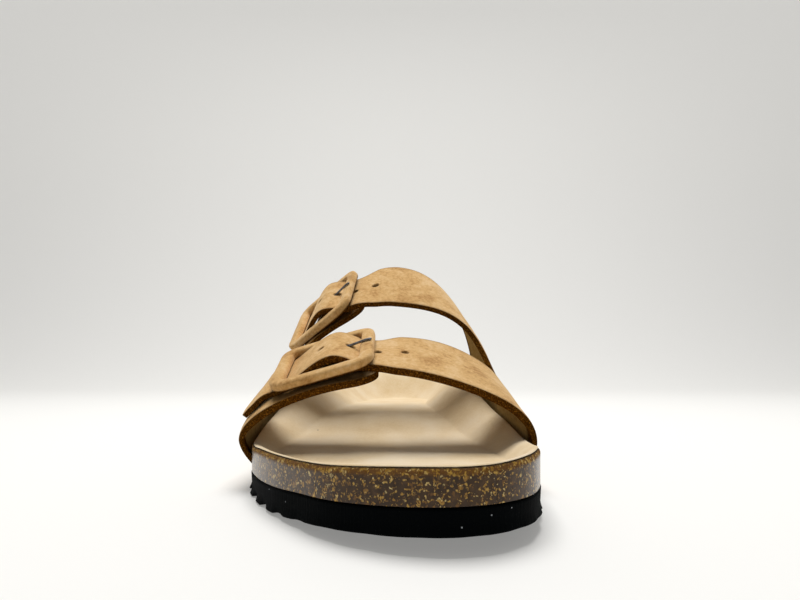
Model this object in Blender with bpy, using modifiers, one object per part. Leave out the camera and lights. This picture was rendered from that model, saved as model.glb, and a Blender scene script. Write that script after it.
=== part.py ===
"""Two-strap cork sandal, right shoe, built as its maker would put it together.

A black foam outsole carries a moulded cork footbed with a suede cover. The upper is two pieces of
suede: the medial one is cut as two straps joined at the sole, the lateral one as two buckle tabs
joined at the sole. Each strap runs up through a covered buckle, over its crossbar and back down over
its tab, and a wire prong holds it at one of its holes.

Shoe frame: X to the medial side, Y to the heel, Z up. "Station" is the distance behind the toe tip.
"Girth" runs round the last: 0 on the crest, 1 at the belly, 2 at the sole edge and 3 at the inner end
of the margin turned under the footbed, positive on the medial side and negative on the lateral side.
"""

import math

import bmesh
import bpy
import numpy as np
from mathutils import Matrix, Vector

# Driving sizes, in millimetres. MM turns them into metres where a mesh is made.
MM = 0.001
SOLE_LENGTH = 266.0
AXIS_X = 2.5
TOE_TIP_X = 16.0
AXIS_BEND = 90.0
TOE_TIP_RADIUS = 29.0
HEEL_TIP_RADIUS = 32.0
GAP = 0.3

COVER = 1.2
COVER_INSET = 0.8
STRAP = 2.0
MARGIN = 7.0
POCKET_DEPTH = 8.6
SPINE_TOE = 45.0
SPINE_HEEL = 226.0

# Plan outline of the footbed: half widths each side of its axis, which bends to the big toe.
OUTLINE_COLUMNS = ("station", "lateral", "medial")
OUTLINE = (
    (12.0, 25.6, 25.6),
    (25.0, 34.0, 34.5),
    (42.0, 42.3, 41.5),
    (60.0, 49.0, 46.3),
    (82.0, 54.8, 48.4),
    (100.0, 56.0, 47.5),
    (125.0, 53.5, 41.5),
    (150.0, 48.5, 36.0),
    (175.0, 43.0, 33.5),
    (200.0, 38.5, 33.5),
    (225.0, 35.0, 34.5),
    (245.0, 30.0, 31.0),
    (258.0, 20.5, 21.0),
)

# Heights along the sole: the tread, the outsole's upper face, the footbed's floor and its two rims,
# and how far each rim's slope reaches in from the edge. The toe is rolled a little to the medial side.
TOE_ROLL = 0.026
ROLL_FULL = 30.0
ROLL_END = 72.0
SOLE_COLUMNS = (
    "station", "tread", "foam", "floor", "medial_rim", "lateral_rim", "medial_slope", "lateral_slope",
)
SOLE = (
    (0.0, 4.4, 11.6, 17.8, 22.4, 22.4, 8.0, 8.0),
    (12.0, 3.9, 11.1, 16.4, 23.4, 20.8, 8.5, 7.5),
    (26.0, 2.9, 10.6, 15.2, 23.3, 19.8, 9.0, 7.0),
    (42.0, 1.4, 9.4, 14.4, 21.6, 19.3, 10.0, 7.2),
    (58.0, 0.4, 8.2, 13.9, 19.9, 18.7, 11.0, 7.8),
    (74.0, 0.0, 7.4, 13.6, 19.3, 17.6, 12.5, 9.0),
    (90.0, 0.0, 7.3, 13.8, 20.4, 18.2, 14.5, 11.0),
    (112.0, 0.0, 7.6, 15.6, 25.2, 23.0, 15.5, 13.5),
    (135.0, 1.2, 8.5, 21.8, 32.6, 29.8, 16.0, 16.0),
    (160.0, 1.5, 9.7, 25.4, 38.0, 35.4, 18.0, 18.0),
    (188.0, 0.0, 11.0, 26.0, 39.4, 38.2, 20.0, 20.0),
    (215.0, 0.0, 12.2, 25.2, 40.6, 40.0, 22.0, 22.0),
    (242.0, 0.0, 13.2, 25.2, 41.6, 41.4, 24.0, 24.0),
    (266.0, 2.0, 14.0, 26.4, 42.0, 42.0, 25.0, 25.0),
)

# Low bar under the toes' crease and pad behind the ball. Walls leave the floor at an angle where
# WALL_CREASE is 1, and softly where it is 0.
WALL_CREASE = 0.6
BED_FEATURE_COLUMNS = ("station", "across", "rise", "length", "width", "sweep")
BED_FEATURES = (
    (72.0, 2.0, 1.0, 9.0, 44.0, 0.0040),
    (132.0, -3.0, 1.0, 17.0, 22.0, 0.0000),
)

# Sections of the last, which the suede lies on: crest, belly height and swell beyond the sole edge,
# and how square the arch is (2 is an ellipse).
LAST_COLUMNS = (
    "station", "crest", "crest_x", "belly", "medial_swell", "lateral_swell", "medial_square", "lateral_square",
)
LAST = (
    (58.0, 35.8, 0.0, 18.0, 1.8, 2.6, 2.00, 1.78),
    (72.0, 40.1, 0.0, 18.0, 1.8, 3.0, 2.05, 1.78),
    (90.0, 46.6, 0.0, 20.0, 1.2, 2.8, 2.15, 1.78),
    (110.0, 54.6, 0.5, 25.0, 0.6, 1.8, 2.38, 1.80),
    (135.0, 71.4, 2.0, 33.0, 2.0, 1.5, 2.85, 1.70),
    (165.0, 92.4, 3.5, 40.0, 1.0, 1.5, 2.45, 1.80),
    (185.0, 105.0, 4.0, 43.0, 0.5, 1.5, 2.35, 1.90),
)

# Edges of each strap and tab round the girth, as stations of the front and the rear edge.
SEAM = 113.0
NOTCH_FOOT = 0.80
NOTCH_OPEN = 0.48
EDGE_COLUMNS = ("girth", "front", "rear")
FRONT_STRAP = (
    (-1.2, 85.0, 111.0),
    (-0.55, 80.5, 109.0),
    (-0.235, 79.0, 107.8),
    (-0.05, 76.5, 109.0),
    (0.15, 75.0, 110.5),
    (0.5, 74.0, 110.5),
    (0.8, 74.5, 111.5),
    (2.0, 76.5, SEAM),
    (3.0, 81.5, SEAM),
)
REAR_STRAP = (
    (-1.2, 128.0, 153.0),
    (-0.75, 135.0, 159.5),
    (-0.43, 140.5, 165.0),
    (-0.18, 137.5, 166.5),
    (0.0, 136.5, 166.5),
    (0.5, 134.0, 160.0),
    (0.8, 127.0, 154.0),
    (2.0, SEAM, 148.5),
    (3.0, SEAM, 147.5),
)
FRONT_TAB = (
    (-3.0, 87.0, SEAM),
    (-2.0, 82.0, SEAM),
    (-1.0, 79.5, SEAM),
    (-0.62, 74.5, 109.0),
    (-0.235, 73.5, 109.0),
    (0.1, 74.5, 108.0),
)
REAR_TAB = (
    (-3.0, SEAM, 150.5),
    (-2.0, SEAM, 152.0),
    (-1.0, 120.0, 154.5),
    (-0.75, 131.5, 161.0),
    (-0.43, 136.5, 166.0),
    (0.0, 137.0, 164.5),
)

# Strap over the buckle, in the buckle's own flat frame: height of its underside along the strap,
# measured from the crossbar towards the medial side.
PASS_COLUMNS = ("along", "underside")
BUCKLE_PASS = (
    (-29.0, 1.6),
    (-23.0, 1.78),
    (-19.0, 2.85),
    (-13.0, 5.3),
    (-6.5, 7.9),
    (-2.0, 8.95),
    (0.5, 8.9),
    (3.0, 7.75),
    (6.0, 5.4),
    (9.0, 2.85),
    (12.6, 1.45),
    (18.0, 1.3),
)
PASS_FULL_MEDIAL = 14.0
PASS_FULL_LATERAL = -25.0
PASS_FADE = 9.0
PASS_WIDTH = 28.6
OVER_TAB = 3.05
TAIL_END = -39.0
TONGUE_END = 17.0
TONGUE_ROUND = 11.0
TONGUE_TIP = 0.5
LEAVES_LAST = 62.0

FRAME_ALONG = 41.0
FRAME_ACROSS = 41.0
FRAME_BAR = 5.4
FRAME_DEPTH = 4.0
FRAME_CORNER = 5.0
FRAME_CENTRE = -5.2
CROSSBAR_HEIGHT = 6.0
CROSSBAR_RADIUS = 1.0
PRONG_RADIUS = 0.7
PRONG_TIP = 14.6
EYE_CLEARANCE = 0.2
HOLE_RADIUS = 1.4
PRONG_HOLE = 5.0
HOLES = (-1, 1, 2)

LUGS_PER_SIDE = 22
LUG_POINTS = 4
LUG_HEIGHT = 2.0
LUG_DEPTH = 9.0
LUG_FADE = 45.0
LUG_FLARE = 1.3
NOTCH_INSET = 0.9

STATIONS_PER_SIDE = 30
BED_SHARES = (1.0, 0.78, 0.57, 0.41, 0.3, 0.22, 0.15, 0.085, 0.035)
BASE_SHARES = (0.34, 0.6, 1.0)
STRAP_COLUMNS_ACROSS = 5
BASE_GIRTHS = (3.0, 2.0, 1.6, 1.3, 1.0, 0.9, NOTCH_FOOT, 0.77, 0.70, 0.60, NOTCH_OPEN)


# Tables and smooth curves.

def named(table, columns):
    """Columns of a table as arrays, by name."""
    return dict(zip(columns, np.array(table, float).T))


def smooth(x, knots, values):
    """Cubic through the knots, each with the slope of its neighbours, held level past both ends."""
    slopes = np.gradient(values, knots)
    low = np.clip(np.searchsorted(knots, x, side="right") - 1, 0, len(knots) - 2)
    span = knots[low + 1] - knots[low]
    t = np.clip((x - knots[low]) / span, 0.0, 1.0)
    rise = values[low + 1] - values[low]
    bend_in = span * slopes[low] - rise
    bend_out = rise - span * slopes[low + 1]
    return values[low] + t * rise + t * (1 - t) * ((1 - t) * bend_in + t * bend_out)


def ease(t):
    """0 below 0, 1 above 1, with level ends."""
    t = np.clip(t, 0.0, 1.0)
    return t * t * (3 - 2 * t)


OUTLINE_TABLE = named(OUTLINE, OUTLINE_COLUMNS)
SOLE_TABLE = named(SOLE, SOLE_COLUMNS)
LAST_TABLE = named(LAST, LAST_COLUMNS)
PASS_TABLE = named(BUCKLE_PASS, PASS_COLUMNS)


def along_sole(station, column):
    return smooth(station, SOLE_TABLE["station"], SOLE_TABLE[column])


def along_last(station, column):
    return smooth(station, LAST_TABLE["station"], LAST_TABLE[column])


def by_side(side, medial, lateral):
    return np.where(np.asarray(side) >= 0, medial, lateral)


# Plan of the sole.

def half_width(station, side):
    """Half width of the footbed: the ellipse of the sole's length times a smooth ratio.

    The ratio is each row's width over that ellipse, and at both tips it gives the tip's radius.
    """
    rows = OUTLINE_TABLE["station"]
    knots = np.concatenate([[0.0], rows, [SOLE_LENGTH]])
    ellipse = np.sqrt(rows * (SOLE_LENGTH - rows))
    tips = np.sqrt(2 * np.array([TOE_TIP_RADIUS, HEEL_TIP_RADIUS]) / SOLE_LENGTH)
    ratio = {
        name: np.concatenate([tips[:1], OUTLINE_TABLE[name] / ellipse, tips[1:]])
        for name in ("medial", "lateral")
    }
    ellipse_here = np.sqrt(np.maximum(station * (SOLE_LENGTH - station), 0.0))
    medial = smooth(station, knots, ratio["medial"])
    lateral = smooth(station, knots, ratio["lateral"])
    return ellipse_here * by_side(side, medial, lateral)


def axis_x(station):
    """Middle of the sole, bending to the big toe ahead of the ball."""
    return AXIS_X + (TOE_TIP_X - AXIS_X) * np.clip(1 - station / AXIS_BEND, 0.0, 1.0) ** 2


def edge_x(station, side):
    return axis_x(station) + np.where(np.asarray(side) >= 0, 1, -1) * half_width(station, side)


def layer_height(plan, column):
    """Height of a layer of the sole at plan points, with the toe's roll."""
    fade = 1 - ease((plan[:, 1] - ROLL_FULL) / (ROLL_END - ROLL_FULL))
    roll = TOE_ROLL * (plan[:, 0] - AXIS_X) * fade
    return along_sole(plan[:, 1], column) + roll


def loop_from(medial, lateral):
    """Closed loop round the sole: toe tip, medial side, heel tip, lateral side back to the toe."""
    station = np.concatenate([medial, lateral[-2:0:-1]])
    side = np.concatenate([np.ones(len(medial)), -np.ones(len(lateral) - 2)])
    edge = np.stack([edge_x(station, side), station], axis=1)
    spine_y = SPINE_TOE + (SPINE_HEEL - SPINE_TOE) * station / SOLE_LENGTH
    spine = np.stack([axis_x(spine_y), spine_y], axis=1)
    tangent = np.roll(edge, -1, axis=0) - np.roll(edge, 1, axis=0)
    outward = np.stack([tangent[:, 1], -tangent[:, 0]], axis=1)
    outward /= np.linalg.norm(outward, axis=1, keepdims=True)
    return {"station": station, "side": side, "edge": edge, "spine": spine, "outward": outward}


def footbed_loop():
    """Stations close together at both tips, with extra ones at the ends of the upper's pockets."""
    turn = np.linspace(0.0, math.pi, STATIONS_PER_SIDE + 1)
    even = SOLE_LENGTH / 2 * (1 - np.cos(turn))
    ends = [
        end
        for low, high in POCKETS.values()
        for end in (low - 1.5, low, high, high + 1.5)
    ]
    kept = [s for s in even if min(abs(s - end) for end in ends) > 2.5 or s in (even[0], even[-1])]
    stations = np.array(sorted(kept + ends))
    return loop_from(stations, stations)


def lug_loop():
    """Points evenly spaced along each side, four to a lug."""
    turn = np.linspace(0.0, math.pi, 600)
    fine = SOLE_LENGTH / 2 * (1 - np.cos(turn))
    sides = []
    for side in (1, -1):
        x = edge_x(fine, side)
        run = np.concatenate([[0.0], np.cumsum(np.hypot(np.diff(x), np.diff(fine)))])
        places = np.linspace(0.0, run[-1], LUGS_PER_SIDE * LUG_POINTS + 1)
        sides.append(np.interp(places, run, fine))
    return loop_from(sides[0], sides[1])


def inset_ring(loop, inset):
    """Plan points this far in from the edge, on the way to the spine."""
    way = loop["spine"] - loop["edge"]
    reach = np.linalg.norm(way, axis=1, keepdims=True)
    return loop["edge"] + way / reach * np.reshape(inset, (-1, 1))


def share_ring(loop, share):
    return loop["edge"] + share * (loop["spine"] - loop["edge"])


def outset_ring(loop, outset):
    return loop["edge"] + loop["outward"] * np.reshape(outset, (-1, 1))


def with_height(plan, height):
    return np.column_stack([plan, np.broadcast_to(height, len(plan))])


# Footbed surface.

def bed_features(plan):
    """Sum of the bed's soft ridges and hollows: bells along the sole and across it."""
    x, station = plan[:, 0], plan[:, 1]
    total = np.zeros(len(plan))
    for row in BED_FEATURES:
        bell = dict(zip(BED_FEATURE_COLUMNS, row))
        aside = x - bell["across"]
        ahead = station - bell["station"] - bell["sweep"] * aside**2
        total += bell["rise"] * np.exp(-((ahead / bell["length"]) ** 2) - (aside / bell["width"]) ** 4)
    return total


def bed_height(loop, plan):
    """Top of the cover: the floor, a crease, and a wall that climbs to the rim over its slope.

    The climb is part a quarter cosine, which leaves the floor at an angle, and part half a cosine.
    """
    inset = np.linalg.norm(plan - loop["edge"], axis=1)
    side, station = loop["side"], loop["station"]
    rim = by_side(side, along_sole(station, "medial_rim"), along_sole(station, "lateral_rim"))
    slope = by_side(side, along_sole(station, "medial_slope"), along_sole(station, "lateral_slope"))
    floor = layer_height(plan, "floor")
    way = np.clip((inset - COVER_INSET) / slope, 0.0, 1.0)
    climb = WALL_CREASE * np.cos(math.pi / 2 * way) + (1 - WALL_CREASE) * (0.5 + 0.5 * np.cos(math.pi * way))
    return floor + (rim - floor) * climb + bed_features(plan) * (1 - climb)


# Last and upper.

def last_point(station, girth):
    """Point on the last: an arch above the belly, a wall down to the sole edge, then the margin.

    The arch is a quarter of a superellipse each side. The wall swings in to the sole edge as a sine.
    """
    station, girth = np.broadcast_arrays(np.asarray(station, float), np.asarray(girth, float))
    side = np.where(girth >= 0, 1.0, -1.0)
    turn = np.abs(girth)
    swell = by_side(side, along_last(station, "medial_swell"), along_last(station, "lateral_swell"))
    edge = edge_x(station, side)
    base_x = edge - side * (STRAP + GAP)
    base_z = along_sole(station, "foam") + 1.3 * GAP + STRAP
    belly_x = edge + side * swell
    belly_z = along_last(station, "belly")
    crest_x = along_last(station, "crest_x")
    crest_z = along_last(station, "crest")
    power = 2.0 / by_side(side, along_last(station, "medial_square"), along_last(station, "lateral_square"))
    lean = (1.0 - np.clip(turn, 0.0, 1.0)) * math.pi / 2
    arch_x = crest_x + (belly_x - crest_x) * np.cos(lean) ** power
    arch_z = belly_z + (crest_z - belly_z) * np.sin(lean) ** power
    fall = np.clip(2.0 - turn, 0.0, 1.0)
    wall_x = base_x + (belly_x - base_x) * np.sin(fall * math.pi / 2)
    wall_z = base_z + (belly_z - base_z) * fall
    margin_x = base_x - side * MARGIN * np.clip(turn - 2.0, 0.0, 1.0)
    x = np.where(turn <= 1, arch_x, np.where(turn <= 2, wall_x, margin_x))
    z = np.where(turn <= 1, arch_z, np.where(turn <= 2, wall_z, base_z))
    return np.stack([x, station, z], axis=-1)


def unit(vectors):
    return vectors / np.linalg.norm(vectors, axis=-1, keepdims=True)


def last_normal(station, girth):
    """Outward normal of the arch, from small steps along the last and round it."""
    step = 0.02
    round_it = last_point(station, girth + step) - last_point(station, girth - step)
    along_it = last_point(station + 1.0, girth) - last_point(station - 1.0, girth)
    return unit(np.cross(round_it, along_it))


def edges_of(table):
    """Stations of the front and rear edge at a girth."""
    columns = named(table, EDGE_COLUMNS)
    return lambda girth: tuple(smooth(girth, columns["girth"], columns[name]) for name in ("front", "rear"))


def notched(edge, girth):
    """Edge that leaves the seam as a round notch above the belly."""
    opening = np.clip((NOTCH_FOOT - np.abs(girth)) / (NOTCH_FOOT - NOTCH_OPEN), 0.0, 1.0)
    return SEAM + (edge - SEAM) * np.sqrt(opening * (2 - opening))


def buckle_frame(strap):
    """Flat frame at the crossbar: origin on the last, along to the medial side, across to the heel, up.

    It tilts about the crossbar, so that the lateral end of the buckle lies lower, and pitches a little
    towards the toe.
    """
    front, rear = strap["edges"](strap["crossbar"])
    station = (front + rear) / 2
    origin = last_point(station, strap["crossbar"])
    up = last_normal(station, strap["crossbar"])
    ahead = last_point(station + 1.0, strap["crossbar"]) - last_point(station - 1.0, strap["crossbar"])
    across = unit(ahead - up * np.dot(ahead, up))
    along = np.cross(across, up)
    tilt, pitch = strap["tilt"], strap["pitch"]
    turn, lift = math.cos(tilt), math.sin(tilt)
    along, up = along * turn + up * lift, up * turn - along * lift
    turn, lift = math.cos(pitch), math.sin(pitch)
    across, up = across * turn + up * lift, up * turn - across * lift
    return {"origin": origin, "along": along, "across": across, "up": up}


def strap_run(strap):
    """Girths of the strap's centre line and their distance from the crossbar, towards the medial side."""
    girth = np.linspace(-1.9, 1.0, 700)
    front, rear = strap["edges"](girth)
    line = last_point((front + rear) / 2, girth)
    run = np.concatenate([[0.0], np.cumsum(np.linalg.norm(np.diff(line, axis=0), axis=1))])
    return girth, run - np.interp(strap["crossbar"], girth, run)


def strap_point(strap, girth, along, share):
    """Underside of a strap: on the last, lifted over its tab, and in the buckle's flat frame at the buckle."""
    front, rear = strap["edges"](girth)
    front, rear = strap["trim"](front, rear, girth)
    station = front + (rear - front) * share
    lifted = OVER_TAB * ease((LEAVES_LAST - along) / (LEAVES_LAST - TONGUE_END))
    on_last = last_point(station, girth) + last_normal(station, girth) * lifted[..., None]
    frame = strap["frame"]
    height = smooth(along, PASS_TABLE["along"], PASS_TABLE["underside"])
    sideways = (share - 0.5) * PASS_WIDTH
    in_buckle = (
        frame["origin"]
        + along[..., None] * frame["along"]
        + sideways[..., None] * frame["across"]
        + height[..., None] * frame["up"]
    )
    held = ease((PASS_FULL_MEDIAL + PASS_FADE - along) / PASS_FADE)
    held = held * ease((along - PASS_FULL_LATERAL + PASS_FADE) / PASS_FADE)
    return on_last + (in_buckle - on_last) * held[..., None]


STRAPS = {
    "front": {
        "edges": edges_of(FRONT_STRAP),
        "tab": edges_of(FRONT_TAB),
        "crossbar": -0.25,
        "tilt": math.radians(5.0),
        "pitch": math.radians(1.5),
        "hole_pitch": 10.0,
        "trim": lambda front, rear, girth: (front, np.where(girth > 0, notched(rear, girth), rear)),
        "tab_trim": lambda front, rear, girth: (front, notched(rear, girth)),
    },
    "rear": {
        "edges": edges_of(REAR_STRAP),
        "tab": edges_of(REAR_TAB),
        "crossbar": -0.425,
        "tilt": math.radians(8.5),
        "pitch": math.radians(2.0),
        "hole_pitch": 8.0,
        "trim": lambda front, rear, girth: (np.where(girth > 0, notched(front, girth), front), rear),
        "tab_trim": lambda front, rear, girth: (notched(front, girth), rear),
    },
}
for each in STRAPS.values():
    each["frame"] = buckle_frame(each)
    each["run"] = strap_run(each)

# Stretches of each side where the upper's margin is turned under the footbed.
POCKETS = {
    1: (float(FRONT_STRAP[-2][1]) - 1.0, float(REAR_STRAP[-2][2]) + 1.0),
    -1: (float(FRONT_TAB[1][1]) - 1.0, float(REAR_TAB[1][2]) + 1.0),
}


def in_pocket(loop):
    """1 where the footbed is cut back for the turned-under margin, 0 elsewhere."""
    cut = np.zeros(len(loop["station"]))
    for side, (low, high) in POCKETS.items():
        cut[(loop["side"] == side) & (loop["station"] >= low) & (loop["station"] <= high)] = 1.0
    return cut


# Meshes.

def to_metres(points):
    """Shoe sizes in millimetres to Blender metres, with the sole's middle on Y zero."""
    points = np.asarray(points, float)
    return (points - np.array([0.0, SOLE_LENGTH / 2, 0.0])) * MM


def mesh_object(name, bm, material):
    bmesh.ops.remove_doubles(bm, verts=bm.verts, dist=2e-7)
    bmesh.ops.dissolve_degenerate(bm, edges=bm.edges, dist=1e-7)
    bmesh.ops.recalc_face_normals(bm, faces=bm.faces)
    mesh = bpy.data.meshes.new(name)
    bm.to_mesh(mesh)
    bm.free()
    return add_object(name, mesh, material)


def add_object(name, data, material):
    obj = bpy.data.objects.new(name, data)
    data.materials.clear()
    data.materials.append(material)
    obj.parent = bpy.data.objects[ROOT_NAME]
    bpy.data.collections[PARTS_NAME].objects.link(obj)
    return obj


def loft(name, rings, material, across=False):
    """Closed solid through rings of equal count. The end rings lie on the spine, or are capped across.

    Each band is split from its inner ring to the next point of its outer ring, so that two faces
    lofted through the same plan stay an even distance apart.
    """
    bm = bmesh.new()
    layers = [[bm.verts.new(point) for point in to_metres(ring)] for ring in rings]
    count = len(layers[0])
    spread = [np.abs(ring[:, 0] - AXIS_X).mean() for ring in rings]
    for i, (upper, lower) in enumerate(zip(layers, layers[1:])):
        outwards = spread[i] < spread[i + 1]
        for k in range(count):
            after = (k + 1) % count
            corners = (upper[k], upper[after], lower[after], lower[k])
            for picked in ((0, 1, 2), (0, 2, 3)) if outwards else ((0, 1, 3), (1, 2, 3)):
                bm.faces.new([corners[n] for n in picked])
    if across:
        for layer in (layers[0], layers[-1]):
            cap_across(bm, layer)
    return mesh_object(name, bm, material)


def cap_across(bm, layer):
    """Strip of faces from the medial side of a ring to the lateral side."""
    count = len(layer)
    half = count // 2
    for k in range(half):
        corners = [layer[k], layer[k + 1], layer[count - k - 1], layer[(count - k) % count]]
        bm.faces.new(list(dict.fromkeys(corners)))


def shell(name, grids, material, wall):
    """Wall of even thickness grown outwards from grids of points, which are welded where they meet."""
    bm = bmesh.new()
    for grid in grids:
        rows = [[bm.verts.new(point) for point in to_metres(row)] for row in grid]
        for upper, lower in zip(rows, rows[1:]):
            for j in range(len(upper) - 1):
                bm.faces.new((upper[j], upper[j + 1], lower[j + 1], lower[j]))
    bmesh.ops.remove_doubles(bm, verts=bm.verts, dist=1e-6)
    mesh = bpy.data.meshes.new(name)
    bm.to_mesh(mesh)
    bm.free()
    obj = add_object(name, mesh, material)
    solidify = obj.modifiers.new("wall", "SOLIDIFY")
    solidify.thickness = wall * MM
    solidify.offset = 1.0
    solidify.use_even_offset = True
    return obj


def smooth_shading(obj, degrees=40.0):
    obj.data.shade_smooth()
    obj.data.set_sharp_from_angle(angle=math.radians(degrees))


# Pieces.

def build_outsole(material):
    """Foam outsole: a wall that flares to lugs round its lower edge, toe spring and a raised waist."""
    loop = lug_loop()
    station = loop["station"]
    tread = np.maximum(layer_height(loop["edge"], "tread"), 0.0)
    top = layer_height(loop["edge"], "foam")
    lug = (np.arange(len(station)) % LUG_POINTS != LUG_POINTS // 2).astype(float)
    notch_top = tread + LUG_HEIGHT * (1 - lug) * (0.3 + 0.7 * ease(station / LUG_FADE))
    rings = (
        with_height(outset_ring(loop, 0.2), top),
        with_height(outset_ring(loop, 0.0), tread + LUG_HEIGHT + 1.2),
        with_height(outset_ring(loop, LUG_FLARE * 0.5 * lug), tread + LUG_HEIGHT),
        with_height(outset_ring(loop, LUG_FLARE * lug - NOTCH_INSET * (1 - lug)), notch_top),
        with_height(outset_ring(loop, -LUG_DEPTH), notch_top),
        with_height(outset_ring(loop, -LUG_DEPTH - 0.6), tread),
    )
    return loft("outsole", rings, material, across=True)


def build_footbed(material):
    """Cork footbed: contoured top, upright sides, and a pocket each side for the upper's margin."""
    loop = footbed_loop()
    below_cover = COVER + GAP
    top = [
        with_height(plan, bed_height(loop, plan) - below_cover)
        for plan in [share_ring(loop, share) for share in BED_SHARES] + [inset_ring(loop, COVER_INSET)]
    ]
    rim = top[-1][:, 2]
    base = layer_height(loop["edge"], "foam") + GAP
    pocket = in_pocket(loop)
    pocket_roof = base + pocket * (STRAP + 1.4 * GAP)
    inner = pocket * (STRAP + 2 * GAP)
    sides = [
        with_height(loop["edge"], rim - COVER_INSET),
        with_height(inset_ring(loop, inner), pocket_roof),
        with_height(inset_ring(loop, inner + pocket * POCKET_DEPTH), pocket_roof),
        with_height(inset_ring(loop, inner + pocket * (POCKET_DEPTH + GAP)), base),
    ]
    bottom = [
        with_height(plan, layer_height(plan, "foam") + GAP)
        for plan in [share_ring(loop, share) for share in BASE_SHARES]
    ]
    return loft("footbed", top + sides + bottom, material)


def build_insole(material):
    """Suede cover over the whole bed, its edge a little inside the cork's."""
    loop = footbed_loop()
    plans = [share_ring(loop, share) for share in BED_SHARES] + [inset_ring(loop, COVER_INSET)]
    tops = [with_height(plan, bed_height(loop, plan)) for plan in plans]
    under = [top - np.array([0.0, 0.0, COVER]) for top in reversed(tops)]
    return loft("insole", tops + under, material)


def strap_grid(strap):
    """Points of one main strap from its turned-under margin to its tail end."""
    girths, run = strap["run"]
    base = np.array(BASE_GIRTHS)
    crest_run = np.interp(base[-1], girths, run)
    steps = np.concatenate([
        np.linspace(crest_run, 27.0, 6)[1:],
        [22.0, 17.0, 13.5, 11.0, 8.5, 6.5, 4.5, 2.5, 0.5]
        + [-2.0, -5.0, -8.5, -12.0, -15.5, -19.0, -23.0, -28.0, -34.0],
        [TAIL_END],
    ])
    girth = np.concatenate([base, np.interp(steps, run, girths)])
    along = np.concatenate([np.interp(base, girths, run) + np.maximum(base - 1, 0) * 40, steps])
    share = np.linspace(0.0, 1.0, STRAP_COLUMNS_ACROSS + 1)
    girth, share = np.meshgrid(girth, share, indexing="ij")
    along = np.repeat(along[:, None], STRAP_COLUMNS_ACROSS + 1, axis=1)
    return strap_point(strap, girth, along, share)


def tab_grid(strap):
    """Points of one buckle tab from its margin to its rounded tongue under the strap."""
    girths, run = strap["run"]
    base = -np.array(BASE_GIRTHS)
    start = np.interp(base[-1], girths, run)
    steps = np.concatenate([np.linspace(start, 4.0, 6)[1:], [8.5, 12.0, 14.5, 16.2, TONGUE_END]])
    girth = np.concatenate([base, np.interp(steps, run, girths)])
    front, rear = strap["tab"](girth)
    front, rear = strap["tab_trim"](front, rear, girth)
    along = np.concatenate([np.full(len(base), -99.0), steps])
    from_end = np.clip((TONGUE_END - along) / TONGUE_ROUND, 0.0, 1.0)
    width = TONGUE_TIP + (1 - TONGUE_TIP) * np.sqrt(from_end * (2 - from_end))
    share = 0.5 + (np.linspace(0.0, 1.0, STRAP_COLUMNS_ACROSS + 1)[None, :] - 0.5) * width[:, None]
    station = front[:, None] + (rear - front)[:, None] * share
    return last_point(station, girth[:, None])


def build_medial_upper(material):
    """Medial piece of the upper: both straps, joined below their notch and turned under the footbed."""
    grids = [strap_grid(strap) for strap in STRAPS.values()]
    obj = shell("upper_medial", grids, material, STRAP)
    cutters = [hole_cutter(name, strap) for name, strap in STRAPS.items()]
    for cutter in cutters:
        cut = obj.modifiers.new("holes", "BOOLEAN")
        cut.operation = "DIFFERENCE"
        cut.object = cutter
    return obj


def build_lateral_upper(material):
    """Lateral piece of the upper: both buckle tabs, joined below their notch."""
    grids = [tab_grid(strap)[::-1] for strap in STRAPS.values()]
    return shell("upper_lateral", grids, material, STRAP)


def frame_matrix(frame):
    """Placement of a piece modelled in metres in the buckle's flat frame."""
    axes = Matrix([Vector(frame[name]) for name in ("along", "across", "up")]).transposed().to_4x4()
    place = Matrix.Translation(Vector(to_metres(frame["origin"])))
    lift = Matrix.Translation((0.0, 0.0, CROSSBAR_HEIGHT * MM))
    return place @ axes @ lift


def tube_mesh(name, points, radius, closed=False, flatten=1.0):
    """Round tube along points in millimetres, as a welded mesh, flattened in height if asked."""
    curve = bpy.data.curves.new(name, "CURVE")
    curve.dimensions = "3D"
    curve.bevel_depth = radius * MM
    curve.bevel_resolution = 2
    curve.use_fill_caps = True
    spline = curve.splines.new("POLY")
    spline.points.add(len(points) - 1)
    for knot, (x, y, z) in zip(spline.points, points):
        knot.co = (x * MM, y * MM, z * MM, 1.0)
    spline.use_cyclic_u = closed
    obj = bpy.data.objects.new(name, curve)
    bpy.context.scene.collection.objects.link(obj)
    graph = bpy.context.evaluated_depsgraph_get()
    mesh = bpy.data.meshes.new_from_object(obj.evaluated_get(graph))
    bpy.data.objects.remove(obj)
    bpy.data.curves.remove(curve)
    bm = bmesh.new()
    bm.from_mesh(mesh)
    bmesh.ops.scale(bm, vec=(1.0, 1.0, flatten), verts=bm.verts)
    bmesh.ops.remove_doubles(bm, verts=bm.verts, dist=1e-6)
    bmesh.ops.recalc_face_normals(bm, faces=bm.faces)
    bm.to_mesh(mesh)
    bm.free()
    return mesh


def rounded_rectangle(along, across, corner, steps=4):
    """Corner points of a rounded rectangle, anticlockwise from above."""
    points = []
    for quarter, (sx, sy) in enumerate(((1, 1), (-1, 1), (-1, -1), (1, -1))):
        for step in range(steps + 1):
            turn = math.pi / 2 * (quarter + step / steps)
            x = sx * (along / 2 - corner) + corner * math.cos(turn)
            y = sy * (across / 2 - corner) + corner * math.sin(turn)
            points.append((x, y))
    return points


def cutter_object(name, mesh):
    obj = bpy.data.objects.new(name, mesh)
    obj.display_type = "WIRE"
    obj.hide_render = True
    obj.parent = bpy.data.objects[ROOT_NAME]
    bpy.data.collections[CUTTERS_NAME].objects.link(obj)
    return obj


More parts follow.
